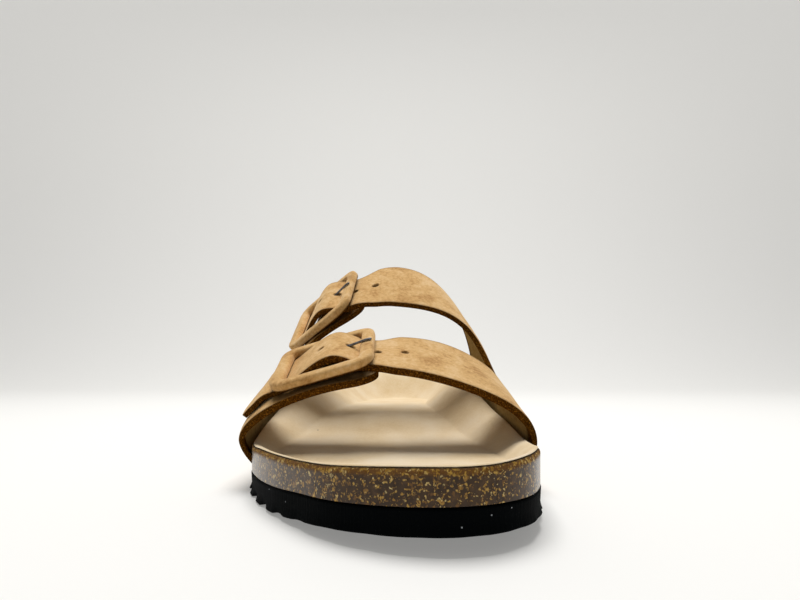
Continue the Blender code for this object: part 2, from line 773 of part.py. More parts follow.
def build_buckle(name, strap, material):
    """Suede-covered frame with a crossbar, lying flat over the strap."""
    bar = FRAME_BAR / 2
    path = [
        (x + FRAME_CENTRE, y, 0.0)
        for x, y in rounded_rectangle(FRAME_ALONG - FRAME_BAR, FRAME_ACROSS - FRAME_BAR, FRAME_CORNER)
    ]
    rim = tube_mesh("frame", path, bar, True, FRAME_DEPTH / FRAME_BAR)
    frame = add_object(f"buckle_{name}", rim, material)
    frame.matrix_local = frame_matrix(strap["frame"])
    half = FRAME_ACROSS / 2 - bar
    crossbar = cutter_object(
        f"crossbar_{name}", tube_mesh("crossbar", [(0.0, -half, 0.0), (0.0, half, 0.0)], CROSSBAR_RADIUS)
    )
    crossbar.matrix_local = frame.matrix_local
    join = frame.modifiers.new("crossbar", "BOOLEAN")
    join.operation = "UNION"
    join.object = crossbar
    smooth_shading(frame)
    return frame


def prong_line():
    """Prong in the buckle's frame: an eye round the crossbar, then straight to its rest on the frame."""
    eye = CROSSBAR_RADIUS + EYE_CLEARANCE + PRONG_RADIUS
    turns = np.radians(np.linspace(-40.0, -270.0, 12))
    ring = [(eye * math.cos(turn), 0.0, eye * math.sin(turn)) for turn in turns]
    rest = FRAME_DEPTH / 2 + GAP + PRONG_RADIUS
    bar = FRAME_CENTRE + (FRAME_ALONG - FRAME_BAR) / 2
    ahead = [(bar * share, 0.0, eye + (rest + 0.1 - eye) * ease(share)) for share in (0.35, 0.7, 1.0)]
    return ring + ahead + [(PRONG_TIP, 0.0, rest)]


def build_prong(name, strap, material):
    prong = add_object(f"prong_{name}", tube_mesh("prong", prong_line(), PRONG_RADIUS), material)
    prong.matrix_local = frame_matrix(strap["frame"])
    smooth_shading(prong)
    return prong


def hole_cutter(name, strap):
    """Cutter for the strap's punched holes and for the one that the prong draws open."""
    girths, run = strap["run"]
    bm = bmesh.new()
    for step in HOLES:
        along = np.array([PRONG_HOLE + step * strap["hole_pitch"]])
        girth = np.interp(along, run, girths)
        middle = np.array([0.5])
        centre = strap_point(strap, girth, along, middle)[0]
        ahead = strap_point(strap, girth, along, middle + 0.1)[0] - centre
        later = np.interp(along + 1.0, run, girths)
        sideways = strap_point(strap, later, along + 1.0, middle)[0] - centre
        normal = unit(np.cross(sideways, ahead))
        turned = Vector(normal).to_track_quat("Z", "Y").to_matrix().to_4x4()
        place = Matrix.Translation(Vector(to_metres(centre))) @ turned
        bmesh.ops.create_cone(
            bm,
            cap_ends=True,
            segments=10,
            radius1=HOLE_RADIUS * MM,
            radius2=HOLE_RADIUS * MM,
            depth=9.0 * MM,
            matrix=place,
        )
    mesh = bpy.data.meshes.new(f"holes_{name}")
    upper_part = [point for point in prong_line() if point[2] > 0 and point[0] > -1.0]
    drawn = tube_mesh("drawn", upper_part, PRONG_RADIUS + 0.5)
    drawn.transform(frame_matrix(strap["frame"]))
    bm.from_mesh(drawn)
    bm.to_mesh(mesh)
    bm.free()
    return cutter_object(f"holes_{name}", mesh)


# Materials.

def plain_material(name, colour, roughness, metallic=0.0):
    material = bpy.data.materials.new(name)
    material.use_nodes = True
    shader = material.node_tree.nodes["Principled BSDF"]
    shader.inputs["Base Color"].default_value = (*colour, 1.0)
    shader.inputs["Roughness"].default_value = roughness
    shader.inputs["Metallic"].default_value = metallic
    material.diffuse_color = (*colour, 1.0)
    return material


# Scene.

ROOT_NAME = "sandal"
PARTS_NAME = "two_strap_sandal"
CUTTERS_NAME = "cutters"


def clear_scene():
    for obj in list(bpy.data.objects):
        bpy.data.objects.remove(obj)
    for name in (PARTS_NAME, CUTTERS_NAME):
        collection = bpy.data.collections.new(name)
        bpy.context.scene.collection.children.link(collection)
    root = bpy.data.objects.new(ROOT_NAME, None)
    bpy.data.collections[PARTS_NAME].objects.link(root)
    return root


def stand_on_origin(root, parts):
    """Moves the whole shoe so that the middle of its box's underside is at the origin."""
    bpy.context.view_layer.update()
    graph = bpy.context.evaluated_depsgraph_get()
    corners = []
    for part in parts:
        mesh = part.evaluated_get(graph).to_mesh()
        points = np.empty(len(mesh.vertices) * 3)
        mesh.vertices.foreach_get("co", points)
        matrix = np.array(part.matrix_world)
        corners.append(points.reshape(-1, 3) @ matrix[:3, :3].T + matrix[:3, 3])
    points = np.concatenate(corners)
    low, high = points.min(axis=0), points.max(axis=0)
    root.location = (-(low[0] + high[0]) / 2, -(low[1] + high[1]) / 2, -low[2])


def main():
    root = clear_scene()
    foam = plain_material("black_foam", (0.012, 0.012, 0.014), 0.85)
    cork = plain_material("lacquered_cork", (0.16, 0.10, 0.06), 0.35)
    cover = plain_material("cream_suede", (0.66, 0.56, 0.42), 0.9)
    suede = plain_material("tan_suede", (0.50, 0.30, 0.14), 0.95)
    steel = plain_material("dark_steel", (0.30, 0.29, 0.28), 0.35, 1.0)
    parts = [
        build_outsole(foam),
        build_footbed(cork),
        build_insole(cover),
        build_lateral_upper(suede),
        build_medial_upper(suede),
    ]
    for name, strap in STRAPS.items():
        parts.append(build_buckle(name, strap, suede))
        parts.append(build_prong(name, strap, steel))
    stand_on_origin(root, parts)


main()
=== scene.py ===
"""Looks of a two-strap cork sandal, right shoe, seen from its toe.

All shapes are worked out in millimetres in the shoe's own frame: X to the medial side, Y the distance
behind the toe tip, Z up. "Girth" runs round the last: 0 on the crest, 1 at the belly, 2 at the sole
edge and 3 at the inner end of the margin, positive on the medial side.
"""

import functools
import math

import bmesh
import bpy
import numpy as np
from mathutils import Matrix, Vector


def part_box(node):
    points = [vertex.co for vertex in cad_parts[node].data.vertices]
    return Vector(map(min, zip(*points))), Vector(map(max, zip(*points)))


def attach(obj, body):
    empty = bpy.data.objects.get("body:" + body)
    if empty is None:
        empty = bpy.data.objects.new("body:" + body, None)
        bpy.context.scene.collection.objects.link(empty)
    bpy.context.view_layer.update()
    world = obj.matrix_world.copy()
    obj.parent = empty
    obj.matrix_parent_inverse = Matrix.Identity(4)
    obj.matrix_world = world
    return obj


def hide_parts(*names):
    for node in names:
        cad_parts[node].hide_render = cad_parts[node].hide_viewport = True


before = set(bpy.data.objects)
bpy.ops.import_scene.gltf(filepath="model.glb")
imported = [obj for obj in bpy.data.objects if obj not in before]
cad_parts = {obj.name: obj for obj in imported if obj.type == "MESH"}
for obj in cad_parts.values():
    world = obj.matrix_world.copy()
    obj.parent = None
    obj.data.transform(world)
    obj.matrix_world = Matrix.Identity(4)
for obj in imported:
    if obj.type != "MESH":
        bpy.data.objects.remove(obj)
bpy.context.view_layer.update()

MM = 0.001
SOLE_LENGTH = 266.0
AXIS_X = 2.5
TOE_TIP_X = 16.0
AXIS_BEND = 90.0
TOE_TIP_RADIUS = 29.0
HEEL_TIP_RADIUS = 32.0
GAP = 0.3
COVER = 1.2
COVER_INSET = 0.8
SKIVED_EDGE = 0.45
SKIVE = 4.0
BOND = 0.12
STRAP = 2.0
MARGIN = 7.0
SPINE_TOE = 45.0
SPINE_HEEL = 226.0

OUTLINE_COLUMNS = ("station", "lateral", "medial")
OUTLINE = (
    (12.0, 25.6, 25.6),
    (25.0, 34.0, 34.5),
    (42.0, 42.3, 41.5),
    (60.0, 49.0, 46.3),
    (82.0, 54.8, 48.4),
    (100.0, 56.0, 47.5),
    (125.0, 53.5, 41.5),
    (150.0, 48.5, 36.0),
    (175.0, 43.0, 33.5),
    (200.0, 38.5, 33.5),
    (225.0, 35.0, 34.5),
    (245.0, 30.0, 31.0),
    (258.0, 20.5, 21.0),
)

TOE_ROLL = 0.026
ROLL_FULL = 30.0
ROLL_END = 72.0
SOLE_COLUMNS = (
    "station", "tread", "foam", "floor", "medial_rim", "lateral_rim", "medial_slope", "lateral_slope",
)
SOLE = (
    (0.0, 4.4, 11.6, 17.8, 22.4, 22.4, 8.0, 8.0),
    (12.0, 3.9, 11.1, 16.4, 23.4, 20.8, 8.5, 7.5),
    (26.0, 2.9, 10.6, 15.2, 23.3, 19.8, 9.0, 7.0),
    (42.0, 1.4, 9.4, 14.4, 21.6, 19.3, 10.0, 7.2),
    (58.0, 0.4, 8.2, 13.9, 19.9, 18.7, 11.0, 7.8),
    (74.0, 0.0, 7.4, 13.6, 19.3, 17.6, 12.5, 9.0),
    (90.0, 0.0, 7.3, 13.8, 20.4, 18.2, 14.5, 11.0),
    (112.0, 0.0, 7.6, 15.6, 25.2, 23.0, 15.5, 13.5),
    (135.0, 1.2, 8.5, 21.8, 32.6, 29.8, 16.0, 16.0),
    (160.0, 1.5, 9.7, 25.4, 38.0, 35.4, 18.0, 18.0),
    (188.0, 0.0, 11.0, 26.0, 39.4, 38.2, 20.0, 20.0),
    (215.0, 0.0, 12.2, 25.2, 40.6, 40.0, 22.0, 22.0),
    (242.0, 0.0, 13.2, 25.2, 41.6, 41.4, 24.0, 24.0),
    (266.0, 2.0, 14.0, 26.4, 42.0, 42.0, 25.0, 25.0),
)

# Top of the bed. The wall leaves the floor with a crease. The toe bar has a sharp foot, a round crest and
# a long fall behind. A low pad lies behind the ball.
WALL_CREASE = 0.6
BAR_FOOT = 58.0
BAR_CLIMB = 15.0
BAR_FALL = 42.0
BAR_RISE = 1.0
BAR_MIDDLE = 2.0
BAR_HALF = 46.0
BAR_LEAN = -0.10
BAR_SWEEP = 0.004
BED_FEATURE_COLUMNS = ("station", "across", "rise", "length", "width")
BED_FEATURES = (
    (132.0, -3.0, 1.0, 17.0, 22.0),
)

LAST_COLUMNS = (
    "station", "crest", "crest_x", "belly",
    "medial_swell", "lateral_swell", "medial_square", "lateral_square",
)
LAST = (
    (58.0, 35.8, 0.0, 18.0, 1.8, 2.6, 2.00, 1.78),
    (72.0, 40.1, 0.0, 18.0, 1.8, 3.0, 2.05, 1.78),
    (90.0, 46.6, 0.0, 20.0, 1.2, 2.8, 2.15, 1.78),
    (110.0, 54.6, 0.5, 25.0, 0.6, 1.8, 2.38, 1.80),
    (135.0, 71.4, 2.0, 33.0, 2.0, 1.5, 2.85, 1.70),
    (165.0, 92.4, 3.5, 40.0, 1.0, 1.5, 2.45, 1.80),
    (185.0, 105.0, 4.0, 43.0, 0.5, 1.5, 2.35, 1.90),
)

# Front and rear edges of the straps and tabs, as stations by girth.
SEAM = 113.0
NOTCH_FOOT = 0.80
NOTCH_OPEN = 0.48
EDGE_COLUMNS = ("girth", "front", "rear")
FRONT_STRAP = (
    (-1.2, 85.0, 111.0),
    (-0.55, 80.5, 109.0),
    (-0.235, 79.0, 107.8),
    (-0.05, 76.5, 109.0),
    (0.15, 75.0, 110.5),
    (0.5, 74.0, 110.5),
    (0.8, 74.5, 111.5),
    (2.0, 76.5, SEAM),
    (3.0, 81.5, SEAM),
)
REAR_STRAP = (
    (-1.2, 128.0, 153.0),
    (-0.75, 135.0, 159.5),
    (-0.43, 140.5, 165.0),
    (-0.18, 137.5, 166.5),
    (0.0, 136.5, 166.5),
    (0.5, 134.0, 160.0),
    (0.8, 127.0, 154.0),
    (2.0, SEAM, 148.5),
    (3.0, SEAM, 147.5),
)
FRONT_TAB = (
    (-3.0, 87.0, SEAM),
    (-2.0, 82.0, SEAM),
    (-1.0, 79.5, SEAM),
    (-0.62, 74.5, 109.0),
    (-0.235, 73.5, 109.0),
    (0.1, 74.5, 108.0),
)
REAR_TAB = (
    (-3.0, SEAM, 150.5),
    (-2.0, SEAM, 152.0),
    (-1.0, 120.0, 154.5),
    (-0.75, 131.5, 161.0),
    (-0.43, 136.5, 166.0),
    (0.0, 137.0, 164.5),
)

# A strap's way through its buckle: height of its underside along the frame, and where it lies on the last.
PASS_COLUMNS = ("along", "underside")
BUCKLE_PASS = (
    (-29.0, 1.6),
    (-23.0, 1.78),
    (-19.0, 2.85),
    (-13.0, 5.3),
    (-6.5, 7.9),
    (-2.0, 8.95),
    (0.5, 8.9),
    (3.0, 7.75),
    (6.0, 5.4),
    (9.0, 2.85),
    (12.6, 1.45),
    (15.0, 0.6),
    (18.0, -0.55),
    (23.0, -2.6),
)
PASS_FULL_MEDIAL = 14.0
PASS_FULL_LATERAL = -25.0
PASS_FADE = 9.0
PASS_WIDTH = 28.6
OVER_TAB = 3.05
TAIL_LEAVES_FRAME = -27.0
SWELL_STARTS = -20.0
TAIL_END = -39.0
TONGUE_END = 15.0
TONGUE_ROUND = 11.0
TONGUE_TIP = 0.5
LEAVES_LAST = 62.0

# Buckle, prong, the tab's loop and the holes.
FRAME_ALONG = 41.0
FRAME_ACROSS = 41.0
FRAME_BAR = 5.4
FRAME_DEPTH = 4.0
FRAME_CORNER = 5.0
FRAME_CENTRE = -5.2
FRAME_SQUARE = 3.2
FRAME_LUMPS = 0.035
FRAME_LUMP_SIZE = 4.0
CROSSBAR_HEIGHT = 6.0
CROSSBAR_RADIUS = 1.0
PRONG_RADIUS = 0.5
PRONG_TIP = 14.6
EYE_CLEARANCE = 0.2
LOOP_RADIUS = 2.3
LOOP_HALF_WIDTH = 12.6
LOOP_FOOT_ALONG = -19.0
LOOP_FOOT_HEIGHT = -5.3
HOLE_RADIUS = 1.4
PRONG_HOLE = 5.0

# Lugs round the outsole's lower edge.
LUGS_PER_SIDE = 22
LUG_HEIGHT = 2.0
LUG_DEPTH = 9.0
LUG_FADE = 75.0
LUG_FLARE = 1.0
NOTCH_INSET = 0.9
LUGS_START = 14.0
POINTS_PER_LUG = 24
NOTCH_HALF = 0.04
LUG_ROUND = 0.3
FOAM_OUT = 0.2
FOAM_ROUND = 0.5
FLARE_ABOVE_LUGS = 1.2

# Cork's upper edge: depths of its rows, and how its crumbs fade down the side.
CRUMB_DROPS = (0.0, 0.35, 0.8, 1.3, 1.9, 2.6, 3.4)
CRUMB_FULL = 0.9
CRUMB_FADE = 1.3
CRUMB_ROUGH = 0.16
RIM_ROUND = 0.45
LEAST_SIDE = 0.5
POCKET_DEPTH = 8.6
POCKET_EDGE = 1.0

# Suede bands: holes, swollen edges, lumps, the bulge of a cut edge by height, painted shade under the
# buckles.
GIRTH_STEP = 0.004
SHARE_STEP = 0.01
NO_EDGE = 9.0
HOLE_FLAT = 0.75
HOLE_LIP = 0.45
HOLE_DEPTH = 0.8
BELLY_FADE = 0.25
SWELL_REACH = 2.2
SWELL_FADE = 10.0
EDGE_CROWN = 0.06
CROWN_REACH = 0.45
LUMPS = ((0.12, 9.0), (0.05, 3.1))
LUMPS_START = 3.0
EDGE_PROFILE = ((0.74, 0.14), (0.5, 0.2), (0.26, 0.12))
FUZZ = 0.1
FUZZ_SIZE = 0.9
RAW_REACH = 0.5
MARGIN_FADE = 2.0
SHADED_UNDER_BUCKLE = (-30.0, 12.0)
SHADE_FADES = (6.0, 3.0)
SHADE_DARKENS = 0.75
SEAM_GIRTH = NOTCH_FOOT - 0.001
SEAM_WELD = 2.5e-5
SHARP_ANGLE = 55.0
ROW_STEP = 0.9
HOLE_ROW_STEP = 0.3
HOLE_ROWS_REACH = 2.1
BELOW_BELLY = 40.0
FAR_BELOW = -99.0

# Studio in metres: the sweep, and each light's place, tilt, width, depth and power. Camera in shoe
# millimetres.
FLOOR_FRONT = -4.0
BEND_STARTS = 0.7
BEND_RADIUS = 0.6
WALL_TOP = 2.2
SWEEP_HALF = 4.0
FLOOR_DROP = 0.0002
LIGHTS = (
    ("key", (0.0, 0.14, 1.1), -7.0, 0.6, 0.65, 13.0),
    ("wall_wash", (0.0, 0.45, 1.5), 74.0, 4.2, 0.5, 8.8),
)
CAMERA_AT = (4.0, -150.0, 48.0)
LENS = 27.45
LENS_SHIFT = 0.0775


# Tables and smooth curves.

def named(table, columns):
    """Columns of a table as arrays, by name."""
    return dict(zip(columns, np.array(table, float).T))


def smooth(x, knots, values):
    """Cubic through the knots, each with the slope of its neighbours, held level past both ends."""
    slopes = np.gradient(values, knots)
    low = np.clip(np.searchsorted(knots, x, side="right") - 1, 0, len(knots) - 2)
    span = knots[low + 1] - knots[low]
    t = np.clip((x - knots[low]) / span, 0.0, 1.0)
    rise = values[low + 1] - values[low]
    bend_in = span * slopes[low] - rise
    bend_out = rise - span * slopes[low + 1]
    return values[low] + t * rise + t * (1 - t) * ((1 - t) * bend_in + t * bend_out)


def ease(t):
    """0 below 0, 1 above 1, with level ends."""
    t = np.clip(t, 0.0, 1.0)
    return t * t * (3 - 2 * t)


def unit(vectors):
    return vectors / np.linalg.norm(vectors, axis=-1, keepdims=True)


def ripple(points, size):
    """Smooth lumps about as wide as size, between -1 and 1: the mean of five plane waves."""
    ways = np.array([
        (0.83, 0.31, 0.46), (-0.42, 0.77, 0.48), (0.15, -0.63, 0.76),
        (0.58, 0.68, -0.45), (-0.71, 0.12, 0.69),
    ])
    waves = np.sin(points @ ways.T * (math.pi / size) + np.array([0.3, 1.9, 4.1, 2.6, 5.3]))
    return waves.mean(axis=-1)


OUTLINE_TABLE = named(OUTLINE, OUTLINE_COLUMNS)
SOLE_TABLE = named(SOLE, SOLE_COLUMNS)
LAST_TABLE = named(LAST, LAST_COLUMNS)
PASS_TABLE = named(BUCKLE_PASS, PASS_COLUMNS)


def along_sole(station, column):
    return smooth(station, SOLE_TABLE["station"], SOLE_TABLE[column])


def along_last(station, column):
    return smooth(station, LAST_TABLE["station"], LAST_TABLE[column])


def by_side(side, medial, lateral):
    return np.where(np.asarray(side) >= 0, medial, lateral)


def sided(along, station, side, name):
    """Value of a pair of columns, one for each side of the foot."""
    return by_side(side, along(station, "medial_" + name), along(station, "lateral_" + name))


# Plan of the sole.

def half_width(station, side):
    """Half width of the footbed: the ellipse of the sole's length times a smooth ratio."""
    rows = OUTLINE_TABLE["station"]
    knots = np.concatenate([[0.0], rows, [SOLE_LENGTH]])
    ellipse = np.sqrt(rows * (SOLE_LENGTH - rows))
    tips = np.sqrt(2 * np.array([TOE_TIP_RADIUS, HEEL_TIP_RADIUS]) / SOLE_LENGTH)
    ratio = {
        name: np.concatenate([tips[:1], OUTLINE_TABLE[name] / ellipse, tips[1:]])
        for name in ("medial", "lateral")
    }
    ellipse_here = np.sqrt(np.maximum(station * (SOLE_LENGTH - station), 0.0))
    medial = smooth(station, knots, ratio["medial"])
    lateral = smooth(station, knots, ratio["lateral"])
    return ellipse_here * by_side(side, medial, lateral)


def axis_x(station):
    """Middle of the sole, bending to the big toe ahead of the ball."""
    return AXIS_X + (TOE_TIP_X - AXIS_X) * np.clip(1 - station / AXIS_BEND, 0.0, 1.0) ** 2


def edge_x(station, side):
    return axis_x(station) + by_side(side, 1, -1) * half_width(station, side)


def layer_height(plan, column):
    """Height of a layer of the sole at plan points, with the toe's roll."""
    fade = 1 - ease((plan[..., 1] - ROLL_FULL) / (ROLL_END - ROLL_FULL))
    return along_sole(plan[..., 1], column) + TOE_ROLL * (plan[..., 0] - AXIS_X) * fade


def sole_loop(per_side):
    """Closed loop round the sole, evenly spaced along each side.

    Toe tip, medial side, heel tip, lateral side back to the toe. "turn" counts the way along each
    side from 0 at the toe to 1 at the heel, and "run" is the length of the edge from the toe tip.
    """
    fine = SOLE_LENGTH / 2 * (1 - np.cos(np.linspace(0.0, math.pi, 2000)))
    turn = np.linspace(0.0, 1.0, per_side + 1)
    halves, lengths = [], []
    for side in (1, -1):
        run = np.concatenate([[0.0], np.cumsum(np.hypot(np.diff(edge_x(fine, side)), np.diff(fine)))])
        halves.append(np.interp(turn * run[-1], run, fine))
        lengths.append(turn * run[-1])
    station = np.concatenate([halves[0], halves[1][-2:0:-1]])
    side = np.concatenate([np.ones(per_side + 1), -np.ones(per_side - 1)])
    edge = np.stack([edge_x(station, side), station], axis=1)
    spine_y = SPINE_TOE + (SPINE_HEEL - SPINE_TOE) * np.concatenate([turn, turn[-2:0:-1]])
    tangent = np.roll(edge, -1, axis=0) - np.roll(edge, 1, axis=0)
    return {
        "station": station,
        "side": side,
        "edge": edge,
        "spine": np.stack([axis_x(spine_y), spine_y], axis=1),
        "outward": unit(np.stack([tangent[:, 1], -tangent[:, 0]], axis=1)),
        "turn": np.concatenate([turn, turn[-2:0:-1]]),
        "run": np.concatenate([lengths[0], -lengths[1][-2:0:-1]]),
    }


def inset_ring(loop, inset):
    """Plan points this far in from the edge, on the way to the spine."""
    return loop["edge"] + unit(loop["spine"] - loop["edge"]) * np.reshape(inset, (-1, 1))


def share_ring(loop, share):
    return loop["edge"] + share * (loop["spine"] - loop["edge"])


def outset_ring(loop, outset):
    return loop["edge"] + loop["outward"] * np.reshape(outset, (-1, 1))


def with_height(plan, height):
    return np.column_stack([plan, np.broadcast_to(height, len(plan))])


def bed_features(plan):
    """Toe bar plus soft pads.

    The bar rises from its foot as a quarter sine and falls behind its crest as half a cosine. The others
    are bells along the sole and across it.
    """
    x, station = plan[:, 0], plan[:, 1]
    aside = x - BAR_MIDDLE
    behind_foot = station - BAR_FOOT - BAR_SWEEP * aside**2 - BAR_LEAN * aside
    climb = np.sin(math.pi / 2 * np.clip(behind_foot / BAR_CLIMB, 0.0, 1.0))
    fall = 0.5 + 0.5 * np.cos(math.pi * np.clip((behind_foot - BAR_CLIMB) / BAR_FALL, 0.0, 1.0))
    total = BAR_RISE * climb * fall * np.exp(-((aside / BAR_HALF) ** 4))
    for row in BED_FEATURES:
        bell = dict(zip(BED_FEATURE_COLUMNS, row))
        along = (station - bell["station"]) / bell["length"]
        across = (x - bell["across"]) / bell["width"]
        total += bell["rise"] * np.exp(-(along**2) - across**4)
    return total


def bed_height(loop, plan):
    """Top of the cover: the floor, a crease, and a wall that climbs to the rim over its slope.

    The climb is part a quarter cosine, which leaves the floor at an angle, and part half a cosine.
    """
    inset = np.linalg.norm(plan - loop["edge"], axis=1)
    side, station = loop["side"], loop["station"]
    rim = sided(along_sole, station, side, "rim")
    slope = sided(along_sole, station, side, "slope")
    floor = layer_height(plan, "floor")
    way = np.clip((inset - COVER_INSET) / slope, 0.0, 1.0)
    round_foot = 0.5 + 0.5 * np.cos(math.pi * way)
    climb = WALL_CREASE * np.cos(math.pi / 2 * way) + (1 - WALL_CREASE) * round_foot
    return floor + (rim - floor) * climb + bed_features(plan) * (1 - climb)


def cover_thickness(loop, plan):
    """Thickness of the cover, skived thin at its edge."""
    inset = np.linalg.norm(plan - loop["edge"], axis=1)
    return SKIVED_EDGE + (COVER - SKIVED_EDGE) * ease((inset - COVER_INSET) / SKIVE)


# Last and upper.

def last_point(station, girth):
    """Point on the last: an arch above the belly, a wall down to the sole edge, then the margin.

    The arch is a quarter of a superellipse each side. The wall swings in to the sole edge as a sine.
    """
    station, girth = np.broadcast_arrays(np.asarray(station, float), np.asarray(girth, float))
    side = np.where(girth >= 0, 1.0, -1.0)
    turn = np.abs(girth)
    swell = sided(along_last, station, side, "swell")
    edge = edge_x(station, side)
    base_x = edge - side * (STRAP + GAP)
    base_z = along_sole(station, "foam") + 1.3 * GAP + STRAP
    belly_x = edge + side * swell
    belly_z = along_last(station, "belly")
    crest_x = along_last(station, "crest_x")
    crest_z = along_last(station, "crest")
    power = 2.0 / sided(along_last, station, side, "square")
    lean = (1.0 - np.clip(turn, 0.0, 1.0)) * math.pi / 2
    arch_x = crest_x + (belly_x - crest_x) * np.cos(lean) ** power
    arch_z = belly_z + (crest_z - belly_z) * np.sin(lean) ** power
    fall = np.clip(2.0 - turn, 0.0, 1.0)
    wall_x = base_x + (belly_x - base_x) * np.sin(fall * math.pi / 2)
    wall_z = base_z + (belly_z - base_z) * fall
    margin_x = base_x - side * MARGIN * np.clip(turn - 2.0, 0.0, 1.0)
    x = np.where(turn <= 1, arch_x, np.where(turn <= 2, wall_x, margin_x))
    z = np.where(turn <= 1, arch_z, np.where(turn <= 2, wall_z, base_z))
    return np.stack([x, station, z], axis=-1)


def last_normal(station, girth):
    """Outward normal of the arch, from small steps along the last and round it."""
    step = 0.02
    round_it = last_point(station, girth + step) - last_point(station, girth - step)
    along_it = last_point(station + 1.0, girth) - last_point(station - 1.0, girth)
    return unit(np.cross(round_it, along_it))


def edges_of(table):
    """Stations of the front and rear edge at a girth."""
    columns = named(table, EDGE_COLUMNS)
    return lambda girth: tuple(smooth(girth, columns["girth"], columns[name]) for name in ("front", "rear"))


def notched(edge, girth):
    """Edge that leaves the seam as a round notch above the belly."""
    opening = np.clip((NOTCH_FOOT - np.abs(girth)) / (NOTCH_FOOT - NOTCH_OPEN), 0.0, 1.0)
    return SEAM + (edge - SEAM) * np.sqrt(opening * (2 - opening))


def buckle_frame(strap):
    """Flat frame at the crossbar: origin on the last, along to the medial side, across to the heel, up."""
    front, rear = strap["edges"](strap["crossbar"])
    station = (front + rear) / 2
    origin = last_point(station, strap["crossbar"])
    up = last_normal(station, strap["crossbar"])
    ahead = last_point(station + 1.0, strap["crossbar"]) - last_point(station - 1.0, strap["crossbar"])
    across = unit(ahead - up * np.dot(ahead, up))
    along = np.cross(across, up)
    turn, lift = math.cos(strap["tilt"]), math.sin(strap["tilt"])
    along, up = along * turn + up * lift, up * turn - along * lift
    turn, lift = math.cos(strap["pitch"]), math.sin(strap["pitch"])
    across, up = across * turn + up * lift, up * turn - across * lift
    return {"origin": origin, "along": along, "across": across, "up": up}


def strap_run(strap):
    """Girths of the strap's centre line and their distance from the crossbar, towards the medial side."""
    girth = np.linspace(-1.9, 1.0, 700)
    front, rear = strap["edges"](girth)
    line = last_point((front + rear) / 2, girth)
    run = np.concatenate([[0.0], np.cumsum(np.linalg.norm(np.diff(line, axis=0), axis=1))])
    return girth, run - np.interp(strap["crossbar"], girth, run)


def along_of(strap, girth):
    """Distance from the crossbar at a girth, carried on evenly below the belly."""
    girths, run = strap["run"]
    return np.interp(girth, girths, run) + np.maximum(girth - 1, 0) * BELOW_BELLY


def strap_point(strap, girth, share):
    """Underside of a strap: on the last, lifted over its tab, flat in the buckle's frame at the buckle."""
    along = along_of(strap, girth)
    front, rear = strap["edges"](girth)
    front, rear = strap["trim"](front, rear, girth)
    station = front + (rear - front) * share
    lifted = OVER_TAB * ease((LEAVES_LAST - along) / (LEAVES_LAST - TONGUE_END))
    down_tail = ease((along - TAIL_LEAVES_FRAME) / (TAIL_END - TAIL_LEAVES_FRAME))
    lifted = lifted - strap["tail_drop"] * down_tail
    on_last = last_point(station, girth) + last_normal(station, girth) * lifted[..., None]
    place = strap["frame"]
    height = smooth(along, PASS_TABLE["along"], PASS_TABLE["underside"])
    sideways = (share - 0.5) * PASS_WIDTH
    in_buckle = (
        place["origin"]
        + along[..., None] * place["along"]
        + sideways[..., None] * place["across"]
        + height[..., None] * place["up"]
    )
    held = ease((PASS_FULL_MEDIAL + PASS_FADE - along) / PASS_FADE)
    held = held * ease((along - PASS_FULL_LATERAL + PASS_FADE) / PASS_FADE)
    return on_last + (in_buckle - on_last) * held[..., None]


def tab_point(strap, girth, share):
    """Inner face of a buckle tab on the last, narrowing to a round tongue under the strap."""
    girths, run = strap["run"]
    along = np.where(girth < -1.0, FAR_BELOW, np.interp(girth, girths, run))
    front, rear = strap["tab"](girth)
    front, rear = strap["tab_trim"](front, rear, girth)
    from_end = np.clip((TONGUE_END - along) / TONGUE_ROUND, 0.0, 1.0)
    width = TONGUE_TIP + (1 - TONGUE_TIP) * np.sqrt(from_end * (2 - from_end))
    return last_point(front + (rear - front) * (0.5 + (share - 0.5) * width), girth)


STRAPS = {
    "front": {
        "edges": edges_of(FRONT_STRAP),
        "tab": edges_of(FRONT_TAB),
        "crossbar": -0.25,
        "tilt": math.radians(5.0),
        "pitch": math.radians(1.5),
        "trim": lambda front, rear, girth: (front, np.where(girth > 0, notched(rear, girth), rear)),
        "tab_trim": lambda front, rear, girth: (front, notched(rear, girth)),
        "holes": (-5.0, PRONG_HOLE, 15.0, 25.0),
        "seam": 1.0,
        "dark_margin": 6.0,
        "tab_dark_margin": 4.0,
        "edge_swell": 0.9,
        "tail_drop": 0.6,
    },
    "rear": {
        "edges": edges_of(REAR_STRAP),
        "tab": edges_of(REAR_TAB),
        "crossbar": -0.425,
        "tilt": math.radians(8.5),
        "pitch": math.radians(2.0),
        "trim": lambda front, rear, girth: (np.where(girth > 0, notched(front, girth), front), rear),
        "tab_trim": lambda front, rear, girth: (notched(front, girth), rear),
        "holes": (-3.0, PRONG_HOLE, 13.0, 21.0),
        "seam": 0.0,
        "dark_margin": 0.3,
        "tab_dark_margin": 2.0,
        "edge_swell": 0.4,
        "tail_drop": 0.0,
    },
}
for each in STRAPS.values():
    each["frame"] = buckle_frame(each)
    each["run"] = strap_run(each)

POCKETS = {
    1: (FRONT_STRAP[-2][1] - POCKET_EDGE, REAR_STRAP[-2][2] + POCKET_EDGE),
    -1: (FRONT_TAB[1][1] - POCKET_EDGE, REAR_TAB[1][2] + POCKET_EDGE),
}


def in_pocket(loop):
    """1 where the footbed is cut back for the turned-under margin, 0 elsewhere."""
    cut = np.zeros(len(loop["station"]))
    for side, (low, high) in POCKETS.items():
        inside = ease((loop["station"] - low) / POCKET_EDGE) * ease((high - loop["station"]) / POCKET_EDGE)
        cut = np.where(loop["side"] == side, inside, cut)
    return cut


# Meshes.

